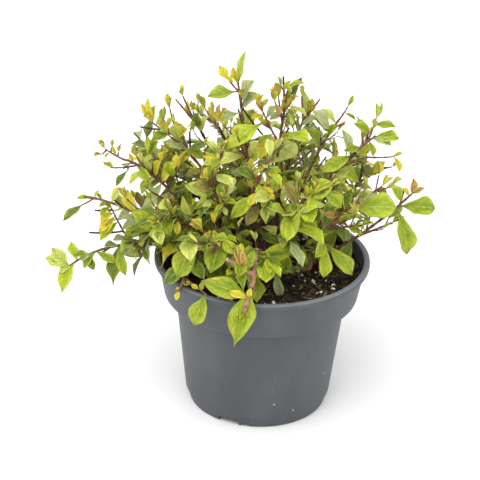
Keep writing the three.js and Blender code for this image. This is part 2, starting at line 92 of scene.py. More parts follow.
# %% [markdown]
# ## Random numbers that never change
#
# A plant needs chance, but the same plant has to grow in every run. This generator gives the same numbers
# for the same seed on any machine. It is the one that shaped the solids, so the twigs land in their places.

# %% Seeded chance
LARGEST_WORD = 0xFFFFFFFF
SEED_STRIDE = 0x6D2B79F5


def seeded(seed):
    """A function that gives the next number from 0 to 1 each time it is called."""
    state = seed & LARGEST_WORD

    def draw():
        nonlocal state
        state = (state + SEED_STRIDE) & LARGEST_WORD
        mixed = ((state ^ (state >> 15)) * (state | 1)) & LARGEST_WORD
        mixed ^= (mixed + (mixed ^ (mixed >> 7)) * (mixed | 61)) & LARGEST_WORD
        return (mixed ^ (mixed >> 14)) / (LARGEST_WORD + 1)

    return draw


def between(random, low, high):
    """The next random number, from low to high."""
    return low + (high - low) * random()


def mix(a, b, share):
    """The value that lies a share of the way from a to b."""
    return a + (b - a) * share


def smooth_step(low, high, value):
    """0 below low, 1 above high and a soft rise between."""
    share = min(1, max(0, (value - low) / (high - low)))
    return share * share * (3 - 2 * share)


# %% [markdown]
# ## Shader maths as plain expressions
#
# A procedural material is a sum of noises and masks. Wired by hand, each sum is a Math node with two links.
# Here a small class wraps one output of a node, and its operators add the Math nodes, so that a mask reads
# like the formula that it is. Every other node comes from one method.


# %% A wire that can be calculated with
class Wire:
    """One output of a shader node. Arithmetic on wires adds Math nodes to the same material."""

    def __init__(self, output):
        self.output = output

    def node(self, kind, settings=None, inputs=None, output=0):
        """Adds a node of any kind, sets it up, fills or links its sockets, and gives one of its outputs."""
        tree = self.output.id_data
        made = tree.nodes.new(kind)
        for name, value in (settings or {}).items():
            if name == "stops":
                set_stops(made.color_ramp, value)
            else:
                setattr(made, name, value)
        for name, value in (inputs or {}).items():
            if isinstance(value, Wire):
                tree.links.new(value.output, made.inputs[name])
            else:
                made.inputs[name].default_value = value
        return Wire(made.outputs[output])

    def math(self, operation, first, second=0):
        return self.node("ShaderNodeMath", {"operation": operation}, {0: first, 1: second})

    def __add__(self, other):
        return self.math("ADD", self, other)

    def __radd__(self, other):
        return self.math("ADD", other, self)

    def __sub__(self, other):
        return self.math("SUBTRACT", self, other)

    def __rsub__(self, other):
        return self.math("SUBTRACT", other, self)

    def __mul__(self, other):
        return self.math("MULTIPLY", self, other)

    def __rmul__(self, other):
        return self.math("MULTIPLY", other, self)

    def __abs__(self):
        return self.math("ABSOLUTE", self)

    def fraction(self):
        return self.math("FRACT", self)

    def whole(self):
        return self.math("FLOOR", self)

    def part(self, letter):
        """The X, Y or Z of a vector."""
        return self.node("ShaderNodeSeparateXYZ", None, {0: self}, "XYZ".index(letter))

    def rise(self, low, high):
        """0 below low, 1 above high and a soft rise between."""
        inputs = {"Value": self, "From Min": low, "From Max": high}
        return self.node("ShaderNodeMapRange", {"interpolation_type": "SMOOTHSTEP"}, inputs)

    def noise(self, scale, detail=3.0, roughness=0.55):
        """Cloudy values round 0.5, at this many clouds to the metre."""
        inputs = {"Vector": self, "Scale": scale, "Detail": detail, "Roughness": roughness}
        return self.node("ShaderNodeTexNoise", None, inputs)

    def stretched(self, x, y, z):
        """The same coordinates, scaled along each axis."""
        return self.node("ShaderNodeVectorMath", {"operation": "MULTIPLY"}, {0: self, 1: (x, y, z)})

    def colours(self, first, second):
        """The first colour where this mask is 0, the second where it is 1."""
        return self.node("ShaderNodeMix", {"data_type": "RGBA"}, {0: self, 6: first, 7: second}, 2)

    def ramp(self, *stops):
        """A colour for each value, between stops of (position, colour)."""
        return self.node("ShaderNodeValToRGB", {"stops": stops}, {0: self})

    def into(self, shader, socket):
        self.output.id_data.links.new(self.output, shader.inputs[socket])


def set_stops(ramp, stops):
    """Gives a colour ramp its stops."""
    ramp.elements.remove(ramp.elements[1])
    ramp.elements[0].position, ramp.elements[0].color = stops[0]
    for position, colour in stops[1:]:
        ramp.elements.new(position).color = colour


# %% Colours and new materials
def light_of(value):
    """The light behind one channel of a screen, by the standard curve, which is straight near black."""
    return value / 12.92 if value < 0.04 else ((value + 0.055) / 1.055) ** 2.4


def shade(red, green, blue):
    """A colour given as it is seen on a screen, from 0 to 255, as the light values that a shader takes."""
    return (*[light_of(channel / 255) for channel in (red, green, blue)], 1)


def new_material(name, **constants):
    """A material, its shader with some constant values, and a wire with the place on the object."""
    made = bpy.data.materials.new(name)
    made.use_nodes = True
    shader = made.node_tree.nodes["Principled BSDF"]
    for socket, value in constants.items():
        shader.inputs[socket.replace("_", " ")].default_value = value
    place = Wire(made.node_tree.nodes.new("ShaderNodeTexCoord").outputs["Object"])
    return made, shader, place


def add_bump(shader, height, distance):
    """Lets a wire of heights from 0 to 1 tilt the shader's surface."""
    inputs = {"Height": height, "Distance": distance, "Strength": 1.0}
    height.node("ShaderNodeBump", None, inputs).into(shader, "Normal")


# %% [markdown]
# ## From a bmesh to a piece of the object
#
# Each piece ends the same way: its mesh gets a material and smooth faces with crisp edges, its object sits
# at the origin and rides on the one body, and the solids of the frame that it stands for are hidden. Small
# shapes that are copied many times are kept as meshes, because joining moved copies is quicker than
# modelling each anew.


# %% Finish a piece
def as_mesh(bm, name):
    """The bmesh as a mesh. The bmesh is freed."""
    mesh = bpy.data.meshes.new(name)
    bm.to_mesh(mesh)
    bm.free()
    return mesh


def new_object(name, data):
    """An object at the origin of the scene that shows a mesh, a curve, a lamp or a camera."""
    made = bpy.data.objects.new(name, data)
    bpy.context.scene.collection.objects.link(made)
    return made


def piece_from(bm, name, material, stands_for=(), sharp_degrees=40):
    """Makes the bmesh a finished piece of the object."""
    mesh = as_mesh(bm, name)
    mesh.materials.append(material)
    mesh.shade_smooth()
    mesh.set_sharp_from_angle(angle=math.radians(sharp_degrees))
    piece = new_object(name, mesh)
    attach(piece, "root")
    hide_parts(*stands_for)
    triangles = sum(len(face.vertices) - 2 for face in mesh.polygons)
    print(f"{name}: {triangles} triangles")
    return piece


def joined(copies):
    """A bmesh of many copies of small meshes, each moved to its own place by its matrix."""
    bm = bmesh.new()
    for template, place in copies:
        copy = template.copy()
        copy.transform(place)
        bm.from_mesh(copy)
        bpy.data.meshes.remove(copy)
    return bm


# %% [markdown]
# ## The pot
#
# The pot is one thin shell of blown plastic: a straight body that widens upwards, a step above its foot,
# a wide collar that lets pots be stacked, and a small overhanging lip. It is a turned shape, so its outline
# is drawn once as a line of corners, the corners are rounded by a vertex bevel, and the line is spun round
# the axis. A cylinder would need many insets to reach the same profile.

# %% The pot's outline
LIP_HEIGHT = 5 * MM
LIP_OVERHANG = 3.6 * MM
COLLAR_BOTTOM = 103 * MM
COLLAR_RADIUS = 85.4 * MM
BODY_RADIUS = 75.6 * MM
STEP_HEIGHT = 10 * MM
STEP_RADIUS = 65.4 * MM
STEP_DEPTH = 1.4 * MM
FOOT_RADIUS = 61.8 * MM
WALL = 1.6 * MM
FLOOR_UNDERSIDE = 5.5 * MM
FLOOR_TOP = 8 * MM
PAD_RADIUS = 16 * MM
PAD_TAPER = 2 * MM
POT_SIDES = 144
CORNER_SEGMENTS = 4
COLLAR_TOP_RADIUS = RIM_RADIUS - LIP_OVERHANG

# Each corner: its radius, its height and how far back along its sides the rounding starts.
POT_CORNERS = [
    (0, 0, 0),
    (PAD_RADIUS, 0, 0.4 * MM),
    (PAD_RADIUS + PAD_TAPER, FLOOR_UNDERSIDE, 0.8 * MM),
    (FOOT_RADIUS - 1.4 * WALL, FLOOR_UNDERSIDE, 0.8 * MM),
    (FOOT_RADIUS - WALL, 0, 0.4 * MM),
    (FOOT_RADIUS, 0, 0.5 * MM),
    (STEP_RADIUS - STEP_DEPTH, STEP_HEIGHT - 0.8 * MM, 0.3 * MM),
    (STEP_RADIUS, STEP_HEIGHT, 0.5 * MM),
    (BODY_RADIUS, COLLAR_BOTTOM - 1 * MM, 0.9 * MM),
    (COLLAR_RADIUS, COLLAR_BOTTOM, 3.4 * MM),
    (COLLAR_TOP_RADIUS, POT_HEIGHT - LIP_HEIGHT, 0.5 * MM),
    (RIM_RADIUS, POT_HEIGHT - LIP_HEIGHT, 1.0 * MM),
    (RIM_RADIUS, POT_HEIGHT, 1.5 * MM),
    (COLLAR_TOP_RADIUS - WALL, POT_HEIGHT, 1.2 * MM),
    (COLLAR_RADIUS - WALL, COLLAR_BOTTOM + WALL, 3.0 * MM),
    (BODY_RADIUS - WALL, COLLAR_BOTTOM + WALL, 1.0 * MM),
    (STEP_RADIUS - WALL, STEP_HEIGHT, 0.4 * MM),
    (STEP_RADIUS - STEP_DEPTH - WALL, FLOOR_TOP, 0.4 * MM),
    (0, FLOOR_TOP, 0),
]


def turned(corners, sides):
    """A bmesh of a line of corners, each rounded, spun round the Z axis into a closed body."""
    bm = bmesh.new()
    points = [bm.verts.new((radius, 0, z)) for radius, z, _ in corners]
    for first, second in zip(points, points[1:]):
        bm.edges.new((first, second))
    for point, (_, _, rounding) in zip(points, corners):
        if rounding > 0:
            bmesh.ops.bevel(
                bm,
                geom=[point],
                offset=rounding,
                affect="VERTICES",
                segments=CORNER_SEGMENTS,
                profile=0.5,
                material=-1,
            )
    line = bm.verts[:] + bm.edges[:]
    bmesh.ops.spin(
        bm, geom=line, axis=(0, 0, 1), cent=(0, 0, 0), angle=math.tau, steps=sides, use_merge=True
    )
    bmesh.ops.remove_doubles(bm, verts=bm.verts, dist=0.01 * MM)
    bmesh.ops.recalc_face_normals(bm, faces=bm.faces)
    return bm


pot = turned(POT_CORNERS, POT_SIDES)
print("pot before its holes are cut:", len(pot.faces), "faces")

# %% [markdown]
# ## Notches and drain holes
#
# Water leaves through slots in the edge of the floor, and three notches in the foot let it out from under
# the pot. They are straight cuts through a curved wall, which is what a Boolean modifier does best: the
# cutters are boxes, and the modifier's result is taken as the pot's mesh.

# %% Cut the pot's foot
NOTCH_COUNT = 3
NOTCH_FIRST = math.radians(-113)
NOTCH_SIZE = (14 * MM, 19 * MM, 9.6 * MM)
DIMPLE_SIZE = (14 * MM, 8 * MM, 3.6 * MM)
DRAIN_SIZE = (6 * MM, 14 * MM, 10 * MM)
NOTCH_SPACING = 4 * MM


def add_box(bm, size, radius, z, turn):
    """A box of this size, at a radius and a turn round the Z axis."""
    place = Matrix.Rotation(turn, 4, "Z") @ Matrix.Translation((radius, 0, z)) @ Matrix.Diagonal((*size, 1))
    bmesh.ops.create_cube(bm, size=1, matrix=place)


def cut_away(bm, cutters):
    """The body in bm without what the cutters fill."""
    body = new_object("body", as_mesh(bm, "body"))
    tool = new_object("cutters", as_mesh(cutters, "cutters"))
    modifier = body.modifiers.new("cut", "BOOLEAN")
    modifier.operation = "DIFFERENCE"
    modifier.solver = "EXACT"
    modifier.object = tool
    cut = bmesh.new()
    cut.from_object(body, bpy.context.evaluated_depsgraph_get())
    for thing in (body, tool):
        mesh = thing.data
        bpy.data.objects.remove(thing)
        bpy.data.meshes.remove(mesh)
    return cut


cutters = bmesh.new()
for number in range(NOTCH_COUNT):
    turn = NOTCH_FIRST + number * math.tau / NOTCH_COUNT
    beside = turn + (NOTCH_SIZE[1] + DIMPLE_SIZE[1] + NOTCH_SPACING) / 2 / FOOT_RADIUS
    add_box(cutters, NOTCH_SIZE, FOOT_RADIUS, 0, turn)
    add_box(cutters, DIMPLE_SIZE, FOOT_RADIUS, 0, beside)
    add_box(cutters, DRAIN_SIZE, FOOT_RADIUS - 2 * WALL - DRAIN_SIZE[0] / 2, FLOOR_TOP, turn)
pot = cut_away(pot, cutters)
print("pot with its holes:", len(pot.faces), "faces")

# %% [markdown]
# ## The pot's plastic
#
# Recycled grey plastic is matt and never quite even: it has a fine grain, cloudy patches where dust dried
# on it, faint scuffs along the way that stacked pots slide, and a few pale specks. The top of the rim is
# lighter, partly rubbed and partly a painted highlight. Most of these are masks that each lay one more
# colour over the grey, and the grain is a relief.


# %% Grey plastic
def pot_plastic():
    made, shader, place = new_material("grey_plastic", IOR=1.46)
    clouds = place.stretched(1, 1, 0.45).noise(26, 4)
    scuffs = place.stretched(1, 1, 0.08).noise(420, 2).rise(0.6, 0.78)
    grain = place.noise(1500, 2)
    speck_cells = {"Vector": place, "Scale": 62.0}
    specks = 1 - place.node("ShaderNodeTexVoronoi", None, speck_cells).rise(0.035, 0.06)
    chosen = place.noise(31, 0).rise(0.56, 0.6)
    height = place.part("Z")
    # The top of the rim: partly rubbed wear, partly a painted highlight.
    rubbed_and_highlit = height.rise(POT_HEIGHT - 1.6 * MM, POT_HEIGHT) * (0.4 + 0.6 * place.noise(90))
    dusty = height.rise(COLLAR_BOTTOM, POT_HEIGHT) * place.noise(55).rise(0.48, 0.75) * 0.35
    base = clouds.rise(0.25, 0.75).colours(shade(66, 69, 73), shade(78, 82, 86))
    base = (scuffs * 0.35).colours(base, shade(103, 106, 109))
    base = dusty.colours(base, shade(104, 102, 98))
    base = rubbed_and_highlit.colours(base, shade(128, 130, 132))
    base = (specks * chosen * 0.8).colours(base, shade(205, 208, 205))
    base.into(shader, "Base Color")
    (0.46 + 0.14 * clouds + 0.1 * scuffs).into(shader, "Roughness")
    add_bump(shader, grain * 0.5 + clouds * 0.5, 0.12 * MM)
    return made


piece_from(pot, "grey_pot", pot_plastic(), ["pot"], sharp_degrees=38)

# %% [markdown]
# ## The soil
#
# Potting soil is dark, fibrous and crumbly. Its body fills the pot and is turned like the pot. Only its
# top shows, so that is where the rings are close, and layered noise lifts them into clods. The stems stand
# in its level middle.

# %% The body of soil
SOIL_CLEARANCE = 0.6 * MM
SOIL_EDGE_RADIUS = 88.2 * MM
SOIL_FLAT_RADIUS = 24 * MM
SOIL_SIDES = 160
SOIL_RINGS = 60
CLOD_WIDTH, CLOD_HEIGHT = 11 * MM, 3.2 * MM
CRUMB_WIDTH, CRUMB_HEIGHT = 3.2 * MM, 1.2 * MM
# The level of the noise that each relief is cut from, so that the two differ.
CLOD_LEVEL, CRUMB_LEVEL = 4.2, 1.7


def soil_height(x, y):
    """The height of the soil's surface: level where the stems stand, rough towards the wall."""
    rough = smooth_step(SOIL_FLAT_RADIUS, 2 * SOIL_FLAT_RADIUS, math.hypot(x, y))
    clods = noise.noise((x / CLOD_WIDTH, y / CLOD_WIDTH, CLOD_LEVEL)) - 0.45
    crumbs = noise.noise((x / CRUMB_WIDTH, y / CRUMB_WIDTH, CRUMB_LEVEL)) - 0.5
    return SOIL_TOP + rough * CLOD_HEIGHT * clods + CRUMB_HEIGHT * crumbs * (0.3 + 0.7 * rough)


SOIL_CORNERS = [
    (0, FLOOR_TOP + SOIL_CLEARANCE, 0),
    (STEP_RADIUS - STEP_DEPTH - WALL - SOIL_CLEARANCE, FLOOR_TOP + SOIL_CLEARANCE, 0),
    (BODY_RADIUS - WALL - SOIL_CLEARANCE, COLLAR_BOTTOM + WALL + SOIL_CLEARANCE, 0),
    (COLLAR_RADIUS - WALL - SOIL_CLEARANCE, COLLAR_BOTTOM + 8 * MM, 0),
    (SOIL_EDGE_RADIUS, SOIL_TOP - 2 * MM, 0),
]
for ring in range(SOIL_RINGS + 1):
    SOIL_CORNERS.append((SOIL_EDGE_RADIUS * (1 - ring / SOIL_RINGS), SOIL_TOP, 0))

soil = turned(SOIL_CORNERS, SOIL_SIDES)
for vert in soil.verts:
    if vert.co.z > SOIL_TOP - 0.1 * MM:
        vert.co.z = soil_height(vert.co.x, vert.co.y)


# %% Compost
def compost():
    made, shader, place = new_material("compost", Roughness=0.95, Specular_IOR_Level=0.2)
    clods = place.noise(160, 5, 0.7)
    fibres = place.stretched(1, 3.5, 1).noise(900, 2)
    base = clods.ramp((0.32, shade(12, 9, 7)), (0.52, shade(38, 28, 20)), (0.72, shade(124, 98, 70)))
    base = (fibres.rise(0.62, 0.75) * 0.6).colours(base, shade(136, 114, 84))
    base.into(shader, "Base Color")
    add_bump(shader, clods * 0.7 + fibres * 0.3, 1.2 * MM)
    return made


soil_material = compost()
piece_from(soil, "potting_soil", soil_material, ["soil"], sharp_degrees=80)

# %% [markdown]
# ## What lies in the soil
#
# Crumbs of peat, chips of bark, pale fibres and white grains of perlite lie on the surface. Each kind is
# one to three small rough shapes, copied to hundreds of places and joined. The crumbs are pressed into the
# soil, and the others lie among them.


# %% Shapes of the crumbs
def small_shape(bm, name):
    """The bmesh as a mesh whose faces point outwards, ready to be copied."""
    bmesh.ops.recalc_face_normals(bm, faces=bm.faces)
    return as_mesh(bm, name)


def rough_ball(name, subdivisions, unevenness, seed):
    """A small ball of radius 1 with a broken surface."""
    bm = bmesh.new()
    bmesh.ops.create_icosphere(bm, subdivisions=subdivisions, radius=1)
    for vert in bm.verts:
        vert.co *= 1 + unevenness * noise.noise(vert.co * 1.6 + Vector((seed, 0, 0)))
    return small_shape(bm, name)


def flake(name):
    """A thin broken chip, 1 long."""
    bm = bmesh.new()
    bmesh.ops.create_cube(bm, size=1)
    bmesh.ops.subdivide_edges(bm, edges=bm.edges, cuts=1, use_grid_fill=True)
    bmesh.ops.scale(bm, vec=(1, 0.5, 0.2), verts=bm.verts)
    for vert in bm.verts:
        vert.co += 0.12 * noise.noise_vector(vert.co * 3.1)
    return small_shape(bm, name)


def fibre(name):
    """A thin bent thread, 1 long, with three sides."""
    bm = bmesh.new()
    bmesh.ops.create_cone(bm, segments=3, radius1=0.035, radius2=0.02, depth=1, cap_ends=True)
    bmesh.ops.subdivide_edges(bm, edges=[edge for edge in bm.edges if edge.calc_length() > 0.5], cuts=4)
    bmesh.ops.rotate(bm, verts=bm.verts, matrix=Matrix.Rotation(math.pi / 2, 3, "Y"))
    for vert in bm.verts:
        vert.co.y += 0.13 * math.cos(3 * vert.co.x)
    return small_shape(bm, name)


# %% Scatter them over the soil
WALL_MARGIN = 3 * MM


def scattered(shapes, count, sizes, flatness, seed, depth, tilt):
    """Copies of some shapes at random places on the soil, sunk into it by a share of their height."""
    random = seeded(seed)
    copies = []
    for number in range(count):
        radius = (SOIL_EDGE_RADIUS - WALL_MARGIN) * math.sqrt(random())
        turn = math.tau * random()
        x, y = radius * math.cos(turn), radius * math.sin(turn)
        size = between(random, *sizes)
        spot = Vector((x, y, soil_height(x, y) - depth * size * flatness))
        place = Matrix.Translation(spot) @ Matrix.Rotation(math.tau * random(), 4, "Z")
        place = place @ Matrix.Rotation(tilt * (random() - 0.5), 4, "X")
        place = place @ Matrix.Rotation(tilt * random(), 4, "Y")
        place = place @ Matrix.Diagonal((size, size, size * flatness, 1))
        copies.append((shapes[number % len(shapes)], place))
    return joined(copies)


def plain_grain(name, dark, pale, roughness=0.9):
    """A dull material for small grains, with a fine mottle."""
    made, shader, place = new_material(name, Roughness=roughness, Specular_IOR_Level=0.25)
    mottle = place.noise(700, 3)
    mottle.rise(0.3, 0.7).colours(dark, pale).into(shader, "Base Color")
    add_bump(shader, mottle, 0.3 * MM)
    return made


# %% Crumbs, chips, fibres and perlite
peat = [rough_ball(f"peat_{seed}", 1, 0.7, seed) for seed in range(3)]
grains = [rough_ball(f"grain_{seed}", 2, 0.8, 7 + seed) for seed in range(3)]
crumb_material = plain_grain("peat_crumbs", shade(10, 9, 8), shade(84, 72, 52))
chip_material = plain_grain("bark_chips", shade(58, 45, 32), shade(158, 130, 96))
fibre_material = plain_grain("pale_fibres", shade(112, 88, 58), shade(212, 184, 140))
perlite_material = plain_grain("perlite", shade(236, 232, 222), shade(255, 253, 246), 0.8)
# Each kind: its shapes and material, the angle of its crisp edges in degrees, how many there are, their
# least and greatest size, their flatness, their seed, how deep they are sunk and how far they tilt. A
# depth below 0 lifts them.
LOOSE_THINGS = {
    "peat_crumbs": (peat, crumb_material, 60, 2000, (0.6 * MM, 2.3 * MM), 0.75, 21, 0.15, 3),
    "bark_chips": ([flake("chip")], chip_material, 40, 130, (2 * MM, 5.5 * MM), 1, 22, -0.08, 0.5),
    "soil_fibres": ([fibre("thread")], fibre_material, 40, 300, (3 * MM, 10 * MM), 1, 23, -0.06, 0.35),
    "perlite": (grains, perlite_material, 60, 100, (0.6 * MM, 1.8 * MM), 0.85, 24, -0.4, 3),
}
for name, (shapes, material, sharp_degrees, *amounts) in LOOSE_THINGS.items():
    piece_from(scattered(shapes, *amounts), name, material, sharp_degrees=sharp_degrees)

# %% [markdown]
# ## How the shrub grows
#
# The shrub has no trunk. Every shoot is one arching line from its foot to its tip, and the solids were
# grown along the same lines, so the rule is written again here with the same seeds. A line is a chain of
# control points. Blending neighbours until two are left gives the point and the direction at any share.

# %% A line with its points and directions
LENGTH_STEPS = 12
UP = Vector((0, 0, 1))


class Line:
    """A straight or arching line, from 0 at its foot to 1 at its tip."""

    def __init__(self, *corners):
        self.corners = [Vector(corner) for corner in corners]

    def at(self, share):
        """The point and the direction at a share of the line."""
        places = self.corners
        while len(places) > 2:
            places = [first.lerp(second, share) for first, second in zip(places, places[1:])]
        first, second = places
        return first.lerp(second, share), (second - first).normalized()

    def length(self):
        points = [self.at(step / LENGTH_STEPS)[0] for step in range(LENGTH_STEPS + 1)]
        return sum((second - first).length for first, second in zip(points, points[1:]))


# %% [markdown]
# ## The shoots
#
# The driving dimensions of each shoot are the direction that it leans to in degrees, how far its tip is
# from the pot's axis, how high the tip is above the soil, and how far its arch stands above a straight
# line, all three in millimetres. The upright shoots stand on the rootstock, and the low ones in the soil
# round it.

# %% Lines of the shoots
SHOOTS = {
    "left_low": (182, 170, -6, 28),
    "left_lower": (198, 112, 28, 38),
    "left_mid": (188, 156, 70, 14),
    "left_upper": (178, 122, 94, 22),
    "left_crest": (171, 90, 122, 16),
    "left_top": (150, 78, 124, 14),
    "back_left_top": (125, 84, 108, 20),
    "top_tall": (165, 27, 168, 4),
    "top_mid": (60, 29, 140, 6),
    "back_top": (66, 84, 112, 18),
    "right_crest": (34, 76, 124, 14),
    "right_upper": (10, 95, 120, 14),
    "right_mid": (21, 112, 80, 18),
    "right_low": (355, 126, 79, -8),
    "right_front": (332, 90, 84, 12),
    "front_right": (302, 64, 93, 12),
    "front_mid": (262, 52, 108, 12),
    "front_low": (266, 104, 12, 56),
    "front_left": (243, 90, 50, 34),
    "front_left_low": (226, 100, 4, 54),
    "left_front": (211, 104, 66, 24),
    "left_inner": (222, 64, 98, 16),
    "back_left": (142, 134, 58, 32),
    "back_mid": (108, 124, 68, 28),
    "back_right": (76, 122, 60, 30),
    "right_back": (46, 126, 60, 30),
}
STOCK_RING_RADIUS = 9.4 * MM
STOCK_CORE_RADIUS = 3.4 * MM
CORE_REACH = 30
UPRIGHT_RISE = 105
SOIL_RING_RADIUS = 20 * MM
SOIL_RING_SHARE = 0.13
LOW_BEND, HIGH_BEND = 0.22, 0.68
LOW_LIFT, HIGH_LIFT = 0.75, 1.2


def ring_point(radius, degrees, z):
    """A point at a radius and a direction, at a height."""
    return Vector((radius * math.cos(math.radians(degrees)), radius * math.sin(math.radians(degrees)), z))


def is_on_ring(shoot):
    _, reach, rise, _ = shoot
    return rise > UPRIGHT_RISE and reach > CORE_REACH


def feet_of(shoots):
    """Where each shoot stands: evenly on the rootstock's ring, in its middle, or in the soil."""
    ring = sorted((name for name in shoots if is_on_ring(shoots[name])), key=lambda name: shoots[name][0])
    step = 360 / len(ring)
    first = sum(shoots[name][0] - number * step for number, name in enumerate(ring)) / len(ring)
    feet = {}
    for name, (toward, reach, rise, arch) in shoots.items():
        if name in ring:
            feet[name] = ring_point(STOCK_RING_RADIUS, first + ring.index(name) * step, STOCK_TOP + GAP)
        elif reach < CORE_REACH:
            feet[name] = ring_point(STOCK_CORE_RADIUS, toward, STOCK_TOP + GAP)
        else:
            feet[name] = ring_point(SOIL_RING_RADIUS + SOIL_RING_SHARE * reach * MM, toward, SOIL_TOP + GAP)
    return feet


def path_of(foot, toward, reach, rise, arch):
    """The arching line of a shoot from its foot to its tip."""
    tip = ring_point(reach * MM, toward, SOIL_TOP + rise * MM)
    low = foot.lerp(tip, LOW_BEND) + UP * arch * LOW_LIFT * MM
    high = foot.lerp(tip, HIGH_BEND) + UP * arch * HIGH_LIFT * MM
    return Line(foot, low, high, tip)


feet = feet_of(SHOOTS)
paths = [path_of(feet[name], *SHOOTS[name]) for name in SHOOTS]
print("shoots:", len(paths), "longest", round(max(path.length() for path in paths) / MM), "mm")

# %% [markdown]
# ## Each shoot keeps to its own space
#
# Shoots share the light: a twig grows into the room nearest its own stem. The test measures how far a
# point is from every shoot's line at once, as arrays, because it is asked thousands of times. Leaves may
# reach a little over the border, as real ones do. Nothing may enter the pot or the soil. This plant also
# has gaps that light falls through, and some soil that lies open, so a few places are kept clear.

# %% The test
LEAFLESS_SHARE = 0.3
PATH_SAMPLES = 24
SPACE_MARGIN = 2.2 * MM
LIMB_CLEARANCE = 3.4 * MM
POT_CLEARANCE = 2 * MM
SOIL_WALL_RADIUS = 88.8 * MM
OPEN_SLOPE = 0.51
# Each open place: its left and right end, how far back it goes, and its height at either end.
OPEN_PLACES = [
    (18 * MM, 92 * MM, 20 * MM, 118 * MM, 148 * MM),
    (92 * MM, 160 * MM, 60 * MM, 164 * MM, 176 * MM),
]
# Gaps in the crown: the middle of each and its radius, in millimetres.
CLEARINGS = [
    (52, 76, 264, 13),
    (-87, 48, 264, 14),
    (-125, 79, 222, 12),
    (114, 47, 219, 12),
    (77, -8, 158, 15),
    (73, -38, 177, 12),
    (70, -22, 172, 11),
    (-104, -56, 152, 14),
    (-47, 25, 240, 9),
    (-48, 42, 232, 9),
    (-48, 60, 225, 9),
    (52, 10, 231, 9),
    (53, 27, 223, 10),
    (54, 45, 215, 10),
    (4, -60, 183, 9),
    (4, -75, 191, 10),
]

samples = np.array(
    [[path.at(step / PATH_SAMPLES)[0] for step in range(PATH_SAMPLES + 1)] for path in paths]
)
starts, steps = samples[:, :-1], np.diff(samples, axis=1)
bare_steps = math.ceil(LEAFLESS_SHARE * PATH_SAMPLES)


def clear_of_pot(point, clearance):
    """True if a point is above the pot, outside it, or over the soil inside its wall."""
    radius = math.hypot(point.x, point.y)
    if point.z > POT_HEIGHT + clearance or radius > RIM_RADIUS + clearance:
        return True
    return radius < SOIL_WALL_RADIUS - clearance and point.z > SOIL_TOP + clearance


def in_the_open(point):
    """True where nothing grows: in the gaps, over the open soil and below the shoots on the right."""
    for *middle, radius in CLEARINGS:
        if (point - Vector(middle) * MM).length < radius * MM:
            return True
    for left, right, back, low, high in OPEN_PLACES:
        if left < point.x < right and point.y < back:
            return point.z + OPEN_SLOPE * point.y < mix(low, high, (point.x - left) / (right - left))
    return False


def in_space(index, points, margin, limb_clearance=LIMB_CLEARANCE, pot_clearance=POT_CLEARANCE):
    """True if each point is nearer to this shoot's line than to any other's by the margin, and free."""
    for point in points:
        if not clear_of_pot(point, pot_clearance):
            return False
        offset = np.array(point) - starts
        share = np.clip((offset * steps).sum(-1) / (steps**2).sum(-1), 0, 1)
        distance = np.linalg.norm(offset - share[..., None] * steps, axis=-1)
        nearest = distance.min(axis=1)
        if distance[:, :bare_steps].min() < limb_clearance:
            return False
        others = np.delete(nearest, index)
        if others.min() <= nearest[index] + margin:
            return False
    return True


# %% [markdown]
# ## Twigs
#
# Each twig leaves its stem a golden turn after the last, leans upwards to the light, and is shorter the
# nearer it is to the tip. The first set is the one in the solids. Between those twigs and on them grow
# short side twigs, which is what fills a real shrub: longer ones low on the shoots, upright ones at their
# ends and fine ones elsewhere.

# %% Twigs of the shoots
TWIG_COUNT = 4
TWIG_FIRST, TWIG_LAST = 0.1, 0.86
TWIG_LENGTH = 44 * MM
TWIG_SHORTENING = 0.5
TWIG_LENGTH_LOW, TWIG_LENGTH_RANGE = 0.85, 0.3
TWIG_SPREAD = 44
TWIG_SPREAD_RANGE = 14
TWIG_LIFT = 0.3
TWIG_SEED = 1000
TWIG_TESTS = (0.35, 0.7, 1)
STUB_TWIG = 2
STUB_LENGTH = 15 * MM
GOLDEN_TURN = 137.5


def across_of(index):
    """The level direction across a shoot."""
    toward = math.radians(list(SHOOTS.values())[index][0])
    return Vector((-math.sin(toward), math.cos(toward), 0))


def heading_of(tangent, across, turn, spread):
    """The direction of a twig: turned round its stem, spread from it and lifted."""
    side = tangent.cross(across).normalized()
    round_it = across * math.sin(turn) + side * math.cos(turn)
    return tangent * math.cos(spread) + round_it * math.sin(spread) + UP * TWIG_LIFT


def main_twigs(index):
    """The twigs that the solids have, as (line, number)."""
    random = seeded(TWIG_SEED + index)
    phase = random() * 360
    twigs = []
    for number in range(TWIG_COUNT):
        share = mix(TWIG_FIRST, TWIG_LAST, number / (TWIG_COUNT - 1))
        turn = math.radians(phase + number * GOLDEN_TURN)
        spread = math.radians(TWIG_SPREAD + TWIG_SPREAD_RANGE * (random() - 0.5))
        evenness = TWIG_LENGTH_LOW + TWIG_LENGTH_RANGE * random()
        full = TWIG_LENGTH * (1 - TWIG_SHORTENING * share) * evenness
        length = STUB_LENGTH if number == STUB_TWIG else full
        start, tangent = paths[index].at(LEAFLESS_SHARE + (1 - LEAFLESS_SHARE) * share)
        line = Line(start, start + heading_of(tangent, across_of(index), turn, spread) * length)
        if in_space(index, [line.at(test)[0] for test in TWIG_TESTS], SPACE_MARGIN):
            twigs.append((line, number))
    return twigs


shoot_twigs = [main_twigs(index) for index in range(len(paths))]
print("twigs in the solids' places:", sum(len(twigs) for twigs in shoot_twigs))

# %% Finer side twigs
SIDE_TWIG_SEED = 3000
SIDE_TWIG_MARGIN = -6 * MM
SIDE_TWIG_CLEARANCE = 1.5 * MM
SIDE_TWIG_SPREADS = (34, 58)
# Each kind: the space from one to the next, the shortest and the longest, how far they lean outwards and
# how far they curve up.
SIDE_TWIGS = {
    "fine": (12 * MM, (9 * MM, 20 * MM), 0.2, 0.5),
    "top": (14 * MM, (13 * MM, 24 * MM), 0, 1.6),
    "low": (7 * MM, (24 * MM, 46 * MM), 0.9, 0.3),
}
